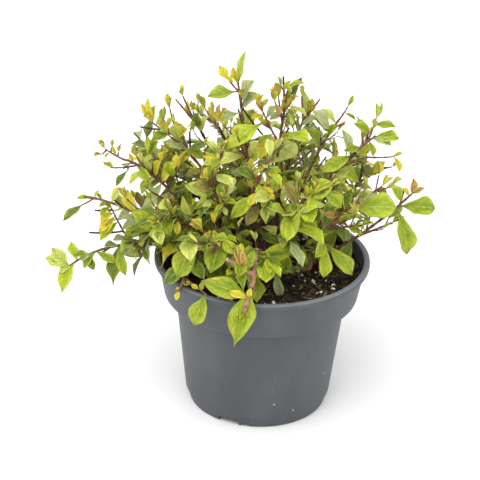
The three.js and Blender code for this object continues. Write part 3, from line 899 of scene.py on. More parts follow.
# The shares of a shoot, and for fine twigs also of a main twig, where each kind starts and ends.
FINE_END = 0.75
FINE_ON_TWIGS = (0.25, 0.8)
TOP_SHARES = (0.7, 0.96)
LOW_SHARES = (0.1, LEAFLESS_SHARE + 0.1)
# The shoots whose ends are nearly bare, and the share where the generic twigs and leaves stop.
SPARSE_ENDS = {
    "left_low": 0.5,
    "left_mid": 0.64,
    "left_upper": 0.74,
    "left_crest": 0.86,
    "top_tall": 0.72,
    "right_crest": 0.8,
    "right_upper": 0.76,
    "right_mid": 0.8,
    "right_low": 0.62,
    "front_low": 0.5,
    "front_left_low": 0.7,
}
BARE_TWIG_SHARE = 0.4


def is_leafy(name, number):
    """True for a main twig that is neither pruned nor on the nearly bare end of a shoot."""
    return number < STUB_TWIG or (number > STUB_TWIG and name not in SPARSE_ENDS)


def outwards_from(point):
    """The level direction away from the pot's axis."""
    return Vector((point.x, point.y, 0)).normalized()


def side_twigs(kind, index, line, first, last, random):
    """Twigs of one kind on a stretch of a line."""
    spacing, lengths, outward, lift = SIDE_TWIGS[kind]
    count = max(1, round(line.length() * (last - first) / spacing))
    phase = math.tau * random()
    made = []
    for number in range(count):
        share = mix(first, last, (number + random()) / count)
        start, tangent = line.at(share)
        turn = phase + math.radians(number * GOLDEN_TURN)
        spread = math.radians(between(random, *SIDE_TWIG_SPREADS))
        heading = heading_of(tangent, across_of(index), turn, spread)
        heading = (heading + outwards_from(start) * outward).normalized()
        length = between(random, *lengths)
        middle = start + heading * length * 0.5
        end = middle + (heading + UP * lift).normalized() * length * 0.5
        twig = Line(start, middle, end)
        tests = [twig.at(test)[0] for test in TWIG_TESTS]
        if any(in_the_open(test) for test in tests):
            continue
        if in_space(index, tests, SIDE_TWIG_MARGIN, SIDE_TWIG_CLEARANCE):
            made.append(twig)
    return made


grown = {kind: [] for kind in SIDE_TWIGS}
for index, (name, path) in enumerate(zip(SHOOTS, paths)):
    random = seeded(SIDE_TWIG_SEED + index)
    last = SPARSE_ENDS.get(name, FINE_END)
    fine = side_twigs("fine", index, path, LEAFLESS_SHARE, last, random)
    top = [] if name in SPARSE_ENDS else side_twigs("top", index, path, *TOP_SHARES, random)
    for line, number in shoot_twigs[index]:
        if is_leafy(name, number):
            fine += side_twigs("fine", index, line, *FINE_ON_TWIGS, random)
    low = side_twigs("low", index, path, *LOW_SHARES, random)
    for kind, twigs in zip(SIDE_TWIGS, (fine, top, low)):
        grown[kind].append(twigs)
for kind, by_shoot in grown.items():
    print(kind, "twigs:", sum(len(twigs) for twigs in by_shoot))

# %% [markdown]
# ## The sprigs that tell this plant from others
#
# Rules grow a plumbago, but not yet this one. Its own outline comes from some bare reddish sprigs that
# stand out of the crown, and from stubs where it was pruned. They are chosen one by one. Each starts on a
# shoot, or on another sprig, at a share of its length. It leans to a direction and rises, both in degrees,
# and has a length in millimetres. A sprig's last number is the size of the tuft at its tip.

# %% Sprigs and stubs
SPRIGS = {
    "upper_tip": ("left_upper", 1.0, 180, 30, 19, 0.7),
    "upper_side": ("left_upper", 0.86, 210, 5, 26, 0.7),
    "upper_bud_low": ("upper_tip", 0.36, 0, 75, 4, 0.6),
    "upper_bud_mid": ("upper_tip", 0.72, 0, 75, 5, 0.6),
    "upper_bud_end": ("upper_tip", 0.92, 180, -45, 6, 0.6),
    "upper_wisp": ("upper_side", 0.38, 275, -5, 6, 0),
    "crest_tip": ("left_crest", 0.9, 200, 35, 23, 0.9),
    "crest_bud": ("left_crest", 0.92, 225, 60, 16, 1.0),
    "crest_low": ("left_crest", 0.8, 220, 40, 21, 1.3),
    "crest_side": ("left_crest", 0.84, 135, 65, 28, 0.9),
    "crest_inner": ("left_crest", 0.72, 235, 60, 26, 1.1),
    "top_left_tip": ("left_top", 0.92, 180, 65, 26, 0.8),
    "top_left_bud": ("left_top", 0.92, 245, 70, 12, 0.8),
    "back_left_tip": ("back_left_top", 0.84, 180, 55, 25, 1.0),
    "upper_inner": ("left_upper", 0.7, 295, 55, 23, 1.3),
    "upper_low": ("left_upper", 0.76, 235, 50, 26, 1.1),
    "upper_back": ("left_upper", 0.8, 65, 55, 12, 1.1),
    "inner_yellow": ("left_upper", 0.6, 300, 50, 36, 1.3),
    "tall_side": ("top_tall", 0.94, 200, 50, 14, 0),
    "tall_bud": ("top_tall", 0.85, 270, 55, 15, 0.9),
    "near_tall": ("top_mid", 0.74, 235, 55, 53, 1.2),
    "near_tall_bud": ("near_tall", 0.46, 220, 35, 11, 1.1),
    "mid_low": ("top_tall", 0.64, 220, 45, 37, 1.3),
    "mid_side": ("top_mid", 0.88, 230, 75, 26, 1.3),
    "mid_left": ("top_mid", 0.9, 240, 55, 27, 1.1),
    "back_tip": ("back_top", 0.92, 180, 85, 24, 0.8),
    "back_bud": ("back_top", 0.92, 295, 55, 16, 1.0),
    "right_crest_tip": ("right_crest", 0.94, 0, 60, 19, 0),
    "right_upper_tip": ("right_upper", 0.92, 0, 75, 23, 1.0),
    "right_upper_bud": ("right_upper_tip", 0.36, 305, 65, 6, 0.9),
    "right_upper_left": ("right_upper", 0.88, 135, 75, 11, 0.9),
    "right_mid_up": ("right_mid", 0.78, 250, 60, 18, 1.4),
    "right_mid_end": ("right_mid", 1.0, 0, 10, 7, 0.5),
    "right_mid_bar": ("right_upper", 0.78, 25, -10, 42, 0.5),
    "low_dark": ("right_low", 0.62, 65, 65, 49, 0.9),
    "mid_rising": ("left_low", 0.6, 200, 65, 47, 0),
    "mid_stalk": ("left_mid", 0.92, 190, -30, 12, 0),
    "low_front_up": ("left_lower", 0.7, 185, 40, 44, 0.9),
    "front_bundle": ("front_left", 0.62, 200, 20, 22, 1.3),
    "front_back": ("front_low", 0.82, 195, 35, 28, 0),
    "front_orange": ("front_back", 0.4, 225, 75, 13, 0.8),
    "front_end": ("front_low", 0.86, 235, -65, 28, 0.7),
    "over_the_rim": ("front_left_low", 0.9, 325, -20, 25, 0),
    "over_the_soil": ("right_front", 0.4, 305, 10, 12, 0),
    "front_left_side": ("front_left_low", 0.62, 235, 50, 27, 0),
    "soil_sprig": ("front_low", 0.2, 355, -25, 18, 0.7),
}
STUBS = {
    "high": ("top_mid", 1.0, 180, 85, 28),
    "high_side": ("top_mid", 0.96, 340, 65, 26),
    "back": ("back_top", 1.0, 0, 60, 13),
    "crest": ("crest_tip", 0.5, 180, 5, 19),
    "left": ("mid_rising", 0.85, 180, -5, 15),
    "left_low": ("mid_rising", 0.35, 180, -5, 30),
    "tall": ("top_tall", 0.86, 345, -50, 31),
}
SPRIG_SAG = 0.07


def direction(toward, rise):
    """The direction that leans to one side and rises, both in degrees."""
    return ring_point(math.cos(math.radians(rise)), toward, math.sin(math.radians(rise)))


def sprig_line(carrier, share, toward, rise, length):
    """A line that starts on another one, and curves up a little."""
    start, _ = lines_by_name[carrier].at(share)
    reach = direction(toward, rise) * length * MM
    return Line(start, start + reach * 0.5 - UP * SPRIG_SAG * length * MM, start + reach)


lines_by_name = dict(zip(SHOOTS, paths))
for name, (*place, _) in SPRIGS.items():
    lines_by_name[name] = sprig_line(*place)
chosen_stubs = [sprig_line(*place) for place in STUBS.values()]
print("chosen sprigs:", len(SPRIGS), "stubs:", len(chosen_stubs))

# %% [markdown]
# ## Stems with bark
#
# A stem is a tube that tapers along its line. A bevelled curve makes many such tubes at once, with a radius
# at every point, so the swellings where leaves grow are written as radii. The curve is turned into a mesh,
# and noise then moves its points in or out, which gives it the slight relief of bark.

# %% Tapering tubes
STEM_FOOT_RADIUS = 1.9 * MM
STEM_FORK_RADIUS = 1.5 * MM
STEM_TIP_RADIUS = 0.95 * MM
FOOT_FLARE = 1.25
FLARE_SHARE = 0.25
NODE_SPACING = 11 * MM
NODE_SWELLING = 0.3
NODE_EDGE = 0.36
RING_SPACING = 2.2 * MM
LUMPS_TO_THE_METRE = 900


def tube_points(line, first, last, first_radius, last_radius, flare=1.0):
    """Points along a line with the radius at each: tapering, flared at the foot, swollen at nodes."""
    length = line.length() * (last - first)
    count = max(3, round(length / RING_SPACING))
    points = []
    for step in range(count + 1):
        share = step / count
        to_node = abs((share * length / NODE_SPACING) % 1 - 0.5)
        swelling = 1 + NODE_SWELLING * smooth_step(NODE_EDGE, 0.5, to_node)
        foot = 1 + (flare - 1) * max(0, 1 - share / FLARE_SHARE)
        radius = mix(first_radius, last_radius, share) * swelling * foot
        points.append((line.at(mix(first, last, share))[0], radius))
    return points


def tubes(tube_list, sides_level, relief):
    """A bmesh of closed tubes through lists of (point, radius), with a slight relief."""
    curve = bpy.data.curves.new("tubes", "CURVE")
    curve.dimensions = "3D"
    curve.bevel_depth = 1
    curve.bevel_resolution = sides_level
    curve.use_fill_caps = True
    for points in tube_list:
        spline = curve.splines.new("POLY")
        spline.points.add(len(points) - 1)
        for target, (point, radius) in zip(spline.points, points):
            target.co = (*point, 1)
            target.radius = radius
    holder = new_object("tubes", curve)
    bm = bmesh.new()
    bm.from_mesh(holder.evaluated_get(bpy.context.evaluated_depsgraph_get()).to_mesh())
    bpy.data.objects.remove(holder)
    bpy.data.curves.remove(curve)
    bmesh.ops.remove_doubles(bm, verts=bm.verts, dist=0.002 * MM)
    bm.normal_update()
    for vert in bm.verts:
        vert.co += vert.normal * relief * noise.noise(vert.co * LUMPS_TO_THE_METRE)
    return bm


# %% Bark
def bark(name, dark, pale, ridge):
    """Thin reddish bark, paler along its ridges, with a few corky dots."""
    made, shader, place = new_material(name, Roughness=0.72, Specular_IOR_Level=0.35)
    patches = place.noise(210, 3)
    ridges = place.stretched(1, 1, 0.18).noise(2600, 2)
    dots = place.noise(1500, 0).rise(0.66, 0.74)
    base = patches.rise(0.32, 0.68).colours(dark, pale)
    base = (ridges.rise(0.5, 0.75) * 0.55).colours(base, ridge)
    base = (dots * 0.5).colours(base, ridge)
    base.into(shader, "Base Color")
    add_bump(shader, ridges * 0.7 + dots * 0.3, 0.25 * MM)
    return made


old_bark = bark("old_bark", shade(70, 45, 38), shade(112, 84, 68), shade(150, 124, 100))
young_bark = bark("young_bark", shade(66, 38, 36), shade(138, 86, 66), shade(190, 146, 110))

stem_tubes = [
    tube_points(path, 0, LEAFLESS_SHARE, STEM_FOOT_RADIUS, STEM_FORK_RADIUS, FOOT_FLARE) for path in paths
]
piece_from(tubes(stem_tubes, 3, 0.16 * MM), "stems", old_bark, STEM_NODES, sharp_degrees=70)

# %% [markdown]
# ## The rootstock
#
# Pruning leaves a knuckle of old wood that the upright stems rise from. A cone gives its size, cuts across
# its wall and insets on its lids give it rows to shape, and then it is pinched and gnarled by noise.

# %% A gnarled knuckle
STOCK_FOOT_RADIUS = stock_high.x
STOCK_TOP_RADIUS = 12.6 * MM
STOCK_SIDES = 40
STOCK_CUTS = 8
STOCK_INSETS, STOCK_INSET = 4, 2.6 * MM
STOCK_PINCH = 0.16
STOCK_SLIMNESS = 0.96
# Two layers of knots: their size as a share of the radius, and how many there are to the metre.
STOCK_KNOTS = ((0.09, 210), (0.05, 620))
LID_FROM, LID_ROUGHNESS, LID_LUMPS = 0.9, 0.9 * MM, 330


def rootstock():
    """The woody knuckle that the upright stems rise from, pinched at its waist and gnarled."""
    bm = bmesh.new()
    height = STOCK_TOP - stock_low.z
    bmesh.ops.create_cone(
        bm,
        segments=STOCK_SIDES,
        radius1=STOCK_FOOT_RADIUS,
        radius2=STOCK_TOP_RADIUS,
        depth=height,
        cap_ends=True,
    )
    walls = [edge for edge in bm.edges if abs(edge.verts[0].co.z - edge.verts[1].co.z) > height / 2]
    bmesh.ops.subdivide_edges(bm, edges=walls, cuts=STOCK_CUTS)
    lids = [face for face in bm.faces if abs(face.normal.z) > 0.9]
    for _ in range(STOCK_INSETS):
        bmesh.ops.inset_region(bm, faces=lids, thickness=STOCK_INSET)
    bmesh.ops.translate(bm, verts=bm.verts, vec=(0, 0, stock_low.z + height / 2))
    for vert in bm.verts:
        share = (vert.co.z - stock_low.z) / height
        pinch = 1 - STOCK_PINCH * math.sin(math.pi * share)
        knots = sum(size * noise.noise(vert.co * closeness) for size, closeness in STOCK_KNOTS)
        inward = pinch * (STOCK_SLIMNESS + knots)
        vert.co.x *= inward
        vert.co.y *= inward
        if share > LID_FROM:
            vert.co.z += LID_ROUGHNESS * (noise.noise(vert.co * LID_LUMPS) - 0.5)
    return bm


piece_from(rootstock(), "gnarled_rootstock", old_bark, ["rootstock"], sharp_degrees=60)

# %% [markdown]
# ## Young wood and the woody branch
#
# Above its bare foot, each stem is thin and reddish, and so are its twigs. All are more tubes of the same
# kind. At the front one old branch forks over the rim. It is thicker and paler than the rest and was cut
# back twice, so it has radii and a bark of its own.

# %% Upper stems and twigs
TWIG_ROOT_RADIUS = 1.15 * MM
TWIG_TIP_RADIUS = 0.7 * MM
FINE_ROOT_RADIUS = 0.7 * MM
FINE_TIP_RADIUS = 0.45 * MM
SPRIG_ROOT_RADIUS = 0.95 * MM
SPRIG_TIP_RADIUS = 0.6 * MM
WOODY_RADII = (2.1 * MM, 1.8 * MM)
WOODY_SPRIGS = ("front_back", "front_end")
# The woody shoot, where its bark turns thick and pale, and where it was cut off.
WOODY_SHOOT, WOODY_START, WOODY_CUT = "front_low", 0.45, 0.87

shoot_tubes = []
for index, (name, path) in enumerate(zip(SHOOTS, paths)):
    start = LEAFLESS_SHARE + GAP / path.length()
    end = WOODY_CUT if name == WOODY_SHOOT else 1
    shoot_tubes.append(tube_points(path, start, end, STEM_FORK_RADIUS, STEM_TIP_RADIUS))
    for line, number in shoot_twigs[index]:
        if number != STUB_TWIG:
            last = 1 if is_leafy(name, number) else BARE_TWIG_SHARE
            shoot_tubes.append(tube_points(line, 0, last, TWIG_ROOT_RADIUS, TWIG_TIP_RADIUS))
for name in SPRIGS:
    shoot_tubes.append(tube_points(lines_by_name[name], 0, 1, SPRIG_ROOT_RADIUS, SPRIG_TIP_RADIUS))
woody_tubes = [tube_points(lines_by_name[name], 0, 1, *WOODY_RADII) for name in WOODY_SPRIGS]
woody_tubes.append(tube_points(lines_by_name[WOODY_SHOOT], WOODY_START, WOODY_CUT, *WOODY_RADII))
woody_bark = bark("woody_bark", shade(112, 78, 60), shade(176, 136, 106), shade(208, 172, 140))
piece_from(tubes(woody_tubes, 3, 0.2 * MM), "woody_branch", woody_bark, sharp_degrees=70)
piece_from(tubes(shoot_tubes, 2, 0.1 * MM), "shoots", young_bark, FOLIAGE_NODES, sharp_degrees=70)

fine_tubes = [
    tube_points(line, 0, 1, FINE_ROOT_RADIUS, FINE_TIP_RADIUS)
    for by_shoot in grown.values()
    for twigs in by_shoot
    for line in twigs
]
piece_from(tubes(fine_tubes, 1, 0.04 * MM), "fine_twigs", young_bark, sharp_degrees=70)

# %% [markdown]
# ## One leaf
#
# The leaf is a rounded oval: a wedge at its stalk, widest a little past the middle, with a short drooping
# tip. It folds along its midrib, its margin waves, and both fade out where the blade is narrow. A small
# grid is enough for that. Each row is set to the width of the leaf there, then the whole blade is bent
# along an arc, and solidify gives it a thickness. Some differently bent leaves are made, and every leaf of
# the shrub is a copy of one of them.

# %% The leaf's outline and bend
STALK_HALF_WIDTH = 0.022
LEAF_THICKNESS = 0.012
MARGIN_UNEVENNESS = 0.06
# How fast the margin's width and its waves change along the leaf, and how far either side is ahead.
WIDTH_WAVES, RIPPLE_WAVES, WAVE_SLANT = 13, 9, 2
TIP_MERGE = 0.004
# The leaf map has this many tiles each way: upper faces in its lower rows, undersides in the others.
ATLAS = 4
UNDERSIDE_ROWS = ATLAS // 2
TILES = ATLAS * UNDERSIDE_ROWS
TILE_EDGE = 0.04


def leaf_shape(
    width, widest=0.6, wedge=1.5, point=1.12, bend=0.6, fold=0.25, wave=0.03, twist=0.0, columns=4, rows=7
):
    """A bmesh of a leaf of length 1 along Y, its upper face up, and the layer with its flat places."""
    bm = bmesh.new()
    flat = bm.verts.layers.float_vector.new("flat")
    bmesh.ops.create_grid(bm, x_segments=columns, y_segments=rows, size=0.5)
    for vert in bm.verts:
        across, share = 2 * vert.co.x, vert.co.y + 0.5
        vert[flat] = (vert.co.x + 0.5, share, 0)
        if share < widest:
            half = width * math.sin(math.pi / 2 * share / widest) ** wedge
        else:
            half = width * math.cos(math.pi / 2 * (share - widest) / (1 - widest)) ** point
        half *= 1 + MARGIN_UNEVENNESS * math.sin(WIDTH_WAVES * share + WAVE_SLANT * across)
        half = max(half, STALK_HALF_WIDTH if share < widest else 0.0)
        ripple = wave * across * abs(across) * math.sin(RIPPLE_WAVES * share + WAVE_SLANT * across)
        lift = fold * abs(across) * half + ripple * half / width
        turn = bend * share
        along = math.sin(turn) / bend + lift * math.sin(turn)
        height = lift * math.cos(turn) - (1 - math.cos(turn)) / bend
        spin = Matrix.Rotation(twist * share, 3, "Y")
        vert.co = spin @ Vector((across * half, 0, 0)) + Vector((0, along, height))
    bmesh.ops.remove_doubles(bm, verts=bm.verts, dist=TIP_MERGE)
    bmesh.ops.solidify(bm, geom=bm.faces, thickness=LEAF_THICKNESS)
    bmesh.ops.recalc_face_normals(bm, faces=bm.faces)
    return bm, flat


def leaf_mesh(name, tile, **form):
    """A leaf as a mesh whose map lies in one tile of the leaf map, its underside in the upper half."""
    bm, flat = leaf_shape(**form)
    layer = bm.loops.layers.uv.new("OFBake")
    column, row = tile % ATLAS, tile // ATLAS
    for face in bm.faces:
        lower = face.normal.z < 0
        for loop in face.loops:
            u, v = [mix(TILE_EDGE, 1 - TILE_EDGE, value) for value in loop.vert[flat][:2]]
            loop[layer].uv = (column + u) / ATLAS, (row + UNDERSIDE_ROWS * lower + v) / ATLAS
    return as_mesh(bm, name)


# %% The kinds of leaf
# Each form: half its width, where it is widest, how sharply it narrows to its stalk (wedge) and to its tip
# (point), and how far it bends down, folds along its midrib, waves at its margin and twists.
LEAF_FORMS = {
    "arched": dict(width=0.23, bend=0.9, fold=0.28),
    "cupped": dict(width=0.25, bend=0.45, fold=0.5),
    "wavy": dict(width=0.24, bend=0.7, fold=0.22, wave=0.08, twist=0.35),
    "broad": dict(width=0.265, bend=0.7, fold=0.25, wave=0.05),
    "slim": dict(width=0.175, bend=0.6, fold=0.35),
    "turned": dict(width=0.25, bend=0.6, fold=0.38, wave=0.05, twist=-0.45),
    "curled": dict(width=0.22, bend=1.6, fold=0.3, wave=0.05),
    "reflexed": dict(width=0.23, bend=-0.5, fold=0.3, wave=0.06),
    "pointed": dict(width=0.215, widest=0.52, wedge=1.9, point=1.6, bend=0.8, fold=0.3, wave=0.05),
    "rounded": dict(width=0.25, widest=0.62, point=0.9, bend=0.4, fold=0.2, wave=0.05),
    "stalked": dict(width=0.25, wedge=3.2, bend=0.6, fold=0.25, wave=0.04),
    "narrow": dict(width=0.14, widest=0.5, bend=0.25, fold=0.45),
    "blunt": dict(width=0.27, widest=0.7, wedge=1.9, point=0.7, bend=0.5, fold=0.2, wave=0.06),
    "stalked_slim": dict(width=0.2, widest=0.64, wedge=2.1, point=1.0, bend=0.7, fold=0.3, wave=0.05),
    "level": dict(width=0.21, widest=0.5, point=1.1, bend=0.5, fold=0.2, wave=0.07),
    "tailed": dict(width=0.195, widest=0.4, wedge=1.2, point=2.5, bend=0.5, fold=0.35, wave=0.12),
}
YOUNG_FORMS = {
    "young": dict(width=0.17, bend=0.25, fold=0.7, columns=2, rows=5),
    "young_open": dict(width=0.23, bend=0.6, fold=0.45, columns=2, rows=5),
}
ALL_FORMS = {**LEAF_FORMS, **YOUNG_FORMS}


def templates(**grid):
    """A mesh for each form in each tile of the leaf map."""
    return {
        (form, tile): leaf_mesh(f"{form}_{tile}", tile, **{**sizes, **grid})
        for form, sizes in ALL_FORMS.items()
        for tile in range(TILES)
    }


leaf_templates = templates()
smooth_templates = templates(columns=8, rows=14)
for kind in (leaf_templates, smooth_templates):
    print("leaf templates:", len(kind), "faces of one:", len(kind["arched", 0].polygons))

# %% [markdown]
# ## Leaf colours
#
# Leaves differ by age, and their tints also paint light and shade: deep and mid green low down, deep as
# painted shade; lime and pale high up, as painted light from above; greyer at the back and the left, as a
# painted sheen; yellow and bronze at the tips, and here and there one that is blushed or dry.
# Each tint is a material of its own, and all its leaves are one piece. The pattern on a leaf follows the
# leaf, so the material reads only the leaf's map: eight tiles, each with its own slight shade, a pale
# midrib, side veins, blotches, and a margin and a tip that colour on some leaves.

# %% Leaf materials
VEIN_COUNT = 6.0
VEIN_SLANT = 1.7
RED_MARGIN = shade(150, 84, 60)
BROWN_TIP = shade(120, 78, 48)
RIPE_YELLOW = shade(226, 204, 60)
GREEN_BACK = shade(150, 164, 88)
LIME_BACK = shade(188, 202, 84)
YELLOW_BACK = shade(226, 214, 82)


def leaf_material(name, dark, pale, vein, back, margin_amount, tip_amount):
    """A leaf of one tint, its pattern laid out on the leaf's own map."""
    made, shader, _ = new_material(name, Specular_IOR_Level=0.3)
    layout = Wire(made.node_tree.nodes.new("ShaderNodeUVMap").outputs["UV"])
    layout.output.node.uv_map = "OFBake"
    u, v = layout.part("X") * ATLAS, layout.part("Y") * ATLAS
    across = abs(u.fraction() - 0.5) * 2
    along = v.fraction()
    tile = u.whole() + ATLAS * v.whole()
    underside = v.rise(UNDERSIDE_ROWS, UNDERSIDE_ROWS + 0.01)
    chance = tile.node("ShaderNodeTexWhiteNoise", {"noise_dimensions": "1D"}, {"W": tile})
    blotches = layout.noise(22, 3)
    midrib = 1 - across.rise(0.03, 0.11)
    ribs = abs((along * VEIN_COUNT - across * VEIN_SLANT).fraction() - 0.5) * 2
    veins = (1 - ribs.rise(0.04, 0.24)) * (1 - across.rise(0.75, 1.0))
    paleness = blotches.rise(0.35, 0.65) * 0.4 + chance * 0.25 + across.rise(0.1, 0.8) * 0.35
    base = paleness.colours(dark, pale)
    ripened = layout.noise(9, 1).rise(0.52, 0.68) * along.rise(0.3, 0.8)
    base = (ripened * 0.35).colours(base, RIPE_YELLOW)
    faded = across.rise(0.45, 0.95) * (0.1 + 0.3 * blotches)
    base = faded.colours(base, vein)
    base = (veins * 0.28).colours(base, vein)
    base = (midrib * 0.42).colours(base, vein)
    reddened = across.rise(0.78, 1.0) * chance.rise(0.45, 0.55) * margin_amount
    base = reddened.colours(base, RED_MARGIN)
    scorched = along.rise(0.8, 0.97) * (1 - chance).rise(0.35, 0.5) * tip_amount
    base = scorched.colours(base, BROWN_TIP)
    base = (underside * 0.75).colours(base, back)
    base.into(shader, "Base Color")
    (0.3 + 0.22 * blotches + 0.16 * underside).into(shader, "Roughness")
    puckers = layout.noise(14, 2)
    add_bump(shader, puckers - veins * 0.45 - midrib * 0.4, 1.1 * MM)
    return made


# Each tint: dark and pale upper face, veins, underside, and how strongly margin and tip are coloured.
LEAF_TINTS = {
    # Deep leaves are mostly low down, where they stand for painted shade.
    "deep": (shade(62, 86, 6), shade(118, 142, 34), shade(170, 180, 90), GREEN_BACK, 0.3, 0.4),
    "mid": (shade(92, 122, 6), shade(168, 184, 40), shade(200, 208, 96), GREEN_BACK, 0.5, 0.5),
    "lime": (shade(122, 152, 6), shade(194, 208, 46), shade(216, 222, 104), LIME_BACK, 0.6, 0.5),
    # Pale leaves are mostly high up, where they stand for a painted sheen and light from above.
    "pale": (shade(156, 176, 58), shade(216, 220, 110), shade(234, 234, 162), LIME_BACK, 0.5, 0.4),
    # Grey leaves are mostly at the back and the left, where they stand for a painted sheen.
    "grey": (shade(134, 152, 88), shade(190, 198, 134), shade(216, 220, 172), GREEN_BACK, 0.3, 0.3),
    "yellow": (shade(194, 186, 24), shade(238, 222, 66), shade(242, 232, 132), YELLOW_BACK, 0.7, 0.4),
    "bronze": (shade(164, 124, 58), shade(208, 176, 92), shade(226, 206, 138), YELLOW_BACK, 0.8, 0.6),
    "blushed": (shade(112, 108, 40), shade(168, 152, 78), shade(196, 186, 116), GREEN_BACK, 1.0, 0.7),
    "dry": (shade(128, 84, 54), shade(176, 124, 78), shade(196, 152, 106), BROWN_TIP, 0.5, 0.8),
}
leaf_materials = {tint: leaf_material(tint + "_leaf", *colours) for tint, colours in LEAF_TINTS.items()}
print("leaf tints:", ", ".join(leaf_materials))

# %% [markdown]
# ## Where leaves grow
#
# A leaf stands at each node of a twig, a golden turn from the last, and at some nodes a pair of smaller
# ones stands beside it. Leaves are largest low on a shoot and small near its tip. Each leans out, droops by
# its own bend, and turns its face up and outwards to the light. A leaf that would cross a bare stem, the
# pot, the soil or a chosen leaf is made smaller or left out.

# %% Placing one leaf
LEAF_MARGIN = -11 * MM
LEAF_LIMB_CLEARANCE = 1.2 * MM
LEAF_POT_CLEARANCE = 0.6 * MM
# The sizes that are tried, and the places on a leaf that are tested, each along it and across it.
LEAF_SIZES = (1, 0.8, 0.62)
LEAF_TESTS = ((0.3, 0), (0.55, 0), (0.55, 1), (0.55, -1), (0.8, 0), (0.98, 0))
LEAF_HALF_WIDTH = 0.27
FACE_OUTWARD = 0.45
FRONT = Vector((0, -1, 0))

leaves = {tint: [] for tint in LEAF_TINTS}
reserved = []


def leaf_frame(root, along, roll, frontwards=0.0):
    """The way across a leaf and the way that its upper face looks."""
    wanted = UP + outwards_from(root) * FACE_OUTWARD + FRONT * frontwards
    face = (wanted - along * wanted.dot(along)).normalized()
    face.rotate(Matrix.Rotation(roll, 3, along))
    return along.cross(face).normalized(), face


def is_reserved(point):
    """True if a point is inside the space of a chosen leaf."""
    return any((point - centre).length < radius for centre, radius in reserved)


def put_leaf(root, along, across, face, length, template, tint):
    """Adds one leaf to the spray of its tint."""
    turn = Matrix((across, along, face)).transposed().to_4x4()
    leaves[tint].append((template, Matrix.Translation(root) @ turn @ Matrix.Scale(length, 4)))


def place_leaf(index, root, along, length, roll, form, tint, tile, bend):
    """Puts a leaf in the shoot's space, smaller if it has to be, or anywhere if the shoot is None."""
    along = along.normalized()
    across, face = leaf_frame(root, along, roll)
    if index is None:
        put_leaf(root, along, across, face, length, smooth_templates[form, tile], tint)
        return
    for share in LEAF_SIZES:
        size = length * share
        tests = [
            root + along * size * y + across * size * LEAF_HALF_WIDTH * x - face * size * bend * y * y / 2
            for y, x in LEAF_TESTS
        ]
        if any(in_the_open(test) or is_reserved(test) for test in tests):
            continue
        if in_space(index, tests, LEAF_MARGIN, LEAF_LIMB_CLEARANCE, LEAF_POT_CLEARANCE):
            put_leaf(root, along, across, face, size, leaf_templates[form, tile], tint)
            return


# %% The tint of one leaf
CROWN_TOP = SOIL_TOP + 130 * MM
BACK_FROM, BACK_TO = -20 * MM, 90 * MM
LEFT_FROM, LEFT_TO, LEFT_WEIGHT = 70 * MM, 170 * MM, 0.6
# The limit on the draw for each tint, low down in the crown and at its top. The grey one, a painted sheen,
# grows with how far back a leaf is, and the rare one is for leaves that are yellow or blushed. Deep leaves
# low down are painted shade, and lime and pale ones high up are painted light from above.
TINT_LIMITS = {
    "grey": (0.01, 0.41),
    "rare": (0.98, 0.94),
    "pale": (0.97, 0.55),
    "lime": (0.82, 0.28),
    "deep": (0.68, 0.12),
}
RARE_YELLOW_CHANCE = 0.6


def tint_for(place, random):
    """The tint of a leaf by its place, as painted light: grey sheen back and left, deep shade low, lime and
    pale high up.
    """
    draw = random()
    back = smooth_step(BACK_FROM, BACK_TO, place.y)
    back += smooth_step(LEFT_FROM, LEFT_TO, -place.x) * LEFT_WEIGHT
    high = smooth_step(SOIL_TOP, CROWN_TOP, place.z)
    if draw < mix(*TINT_LIMITS["grey"], back):
        return "grey"
    if draw > mix(*TINT_LIMITS["rare"], high):
        return "yellow" if random() < RARE_YELLOW_CHANCE else "blushed"
    for tint in ("pale", "lime"):
        if draw > mix(*TINT_LIMITS[tint], high):
            return tint
    return "deep" if draw < mix(*TINT_LIMITS["deep"], high) else "mid"


# %% Leaves along a line
LEAF_NODE_SPACING = 10 * MM
LEAF_OUTWARD = 0.55
LEAF_RISES = (-0.3, 0.1)
LEAF_UNEVENNESS = (0.8, 1.15)
LEAF_ROLL = 0.5
PAIR_CHANCE = 0.4
# A line that runs nearly straight across its shoot takes its first sideways direction from UP instead.
LEAST_CROSSING = 0.2
# For a node's leaf and its two smaller ones: the turn round the twig, the lean along it, and the size.
LEAF_RANKS = ((0, 0.5, 1), (38, 0.8, 0.62), (-38, 0.8, 0.62))
HIGH_LEAVES_LOSS = 0.25
HIGH_FROM, HIGH_TO = SOIL_TOP + 80 * MM, SOIL_TOP + 120 * MM


def dress(index, line, first, last, sizes, random):
    """Leaves along a stretch of a line: one at each node and a smaller pair beside some."""
    forms = list(LEAF_FORMS)
    count = max(1, round(line.length() * (last - first) / LEAF_NODE_SPACING))
    phase = math.tau * random()
    for number in range(count):
        share = mix(first, last, (number + 0.5) / count)
        root, tangent = line.at(share)
        level = tangent.cross(across_of(index))
        if level.length < LEAST_CROSSING:
            level = tangent.cross(UP)
        level.normalize()
        second = tangent.cross(level).normalized()
        ranks = LEAF_RANKS if random() < PAIR_CHANCE else LEAF_RANKS[:1]
        for beside, lean, share_of_size in ranks:
            turn = phase + math.radians(number * GOLDEN_TURN + beside)
            outward = level * math.cos(turn) + second * math.sin(turn)
            along = outward + tangent * lean + UP * between(random, *LEAF_RISES)
            along += outwards_from(root) * LEAF_OUTWARD
            size = mix(*sizes, share) * between(random, *LEAF_UNEVENNESS) * share_of_size
            size *= 1 - HIGH_LEAVES_LOSS * smooth_step(HIGH_FROM, HIGH_TO, root.z)
            form = forms[int(random() * len(forms))]
            tile = int(random() * TILES)
            roll = between(random, -LEAF_ROLL, LEAF_ROLL)
            tint = tint_for(root, random)
            place_leaf(index, root, along, size, roll, form, tint, tile, LEAF_FORMS[form]["bend"])


# %% [markdown]
# ## Tufts at the tips
#
# At the tip of nearly every twig stands a tuft of small young leaves, still half folded. High up in the
# light most tufts are yellow, with a bronze or a pale leaf among them. Lower down more of them are lime.

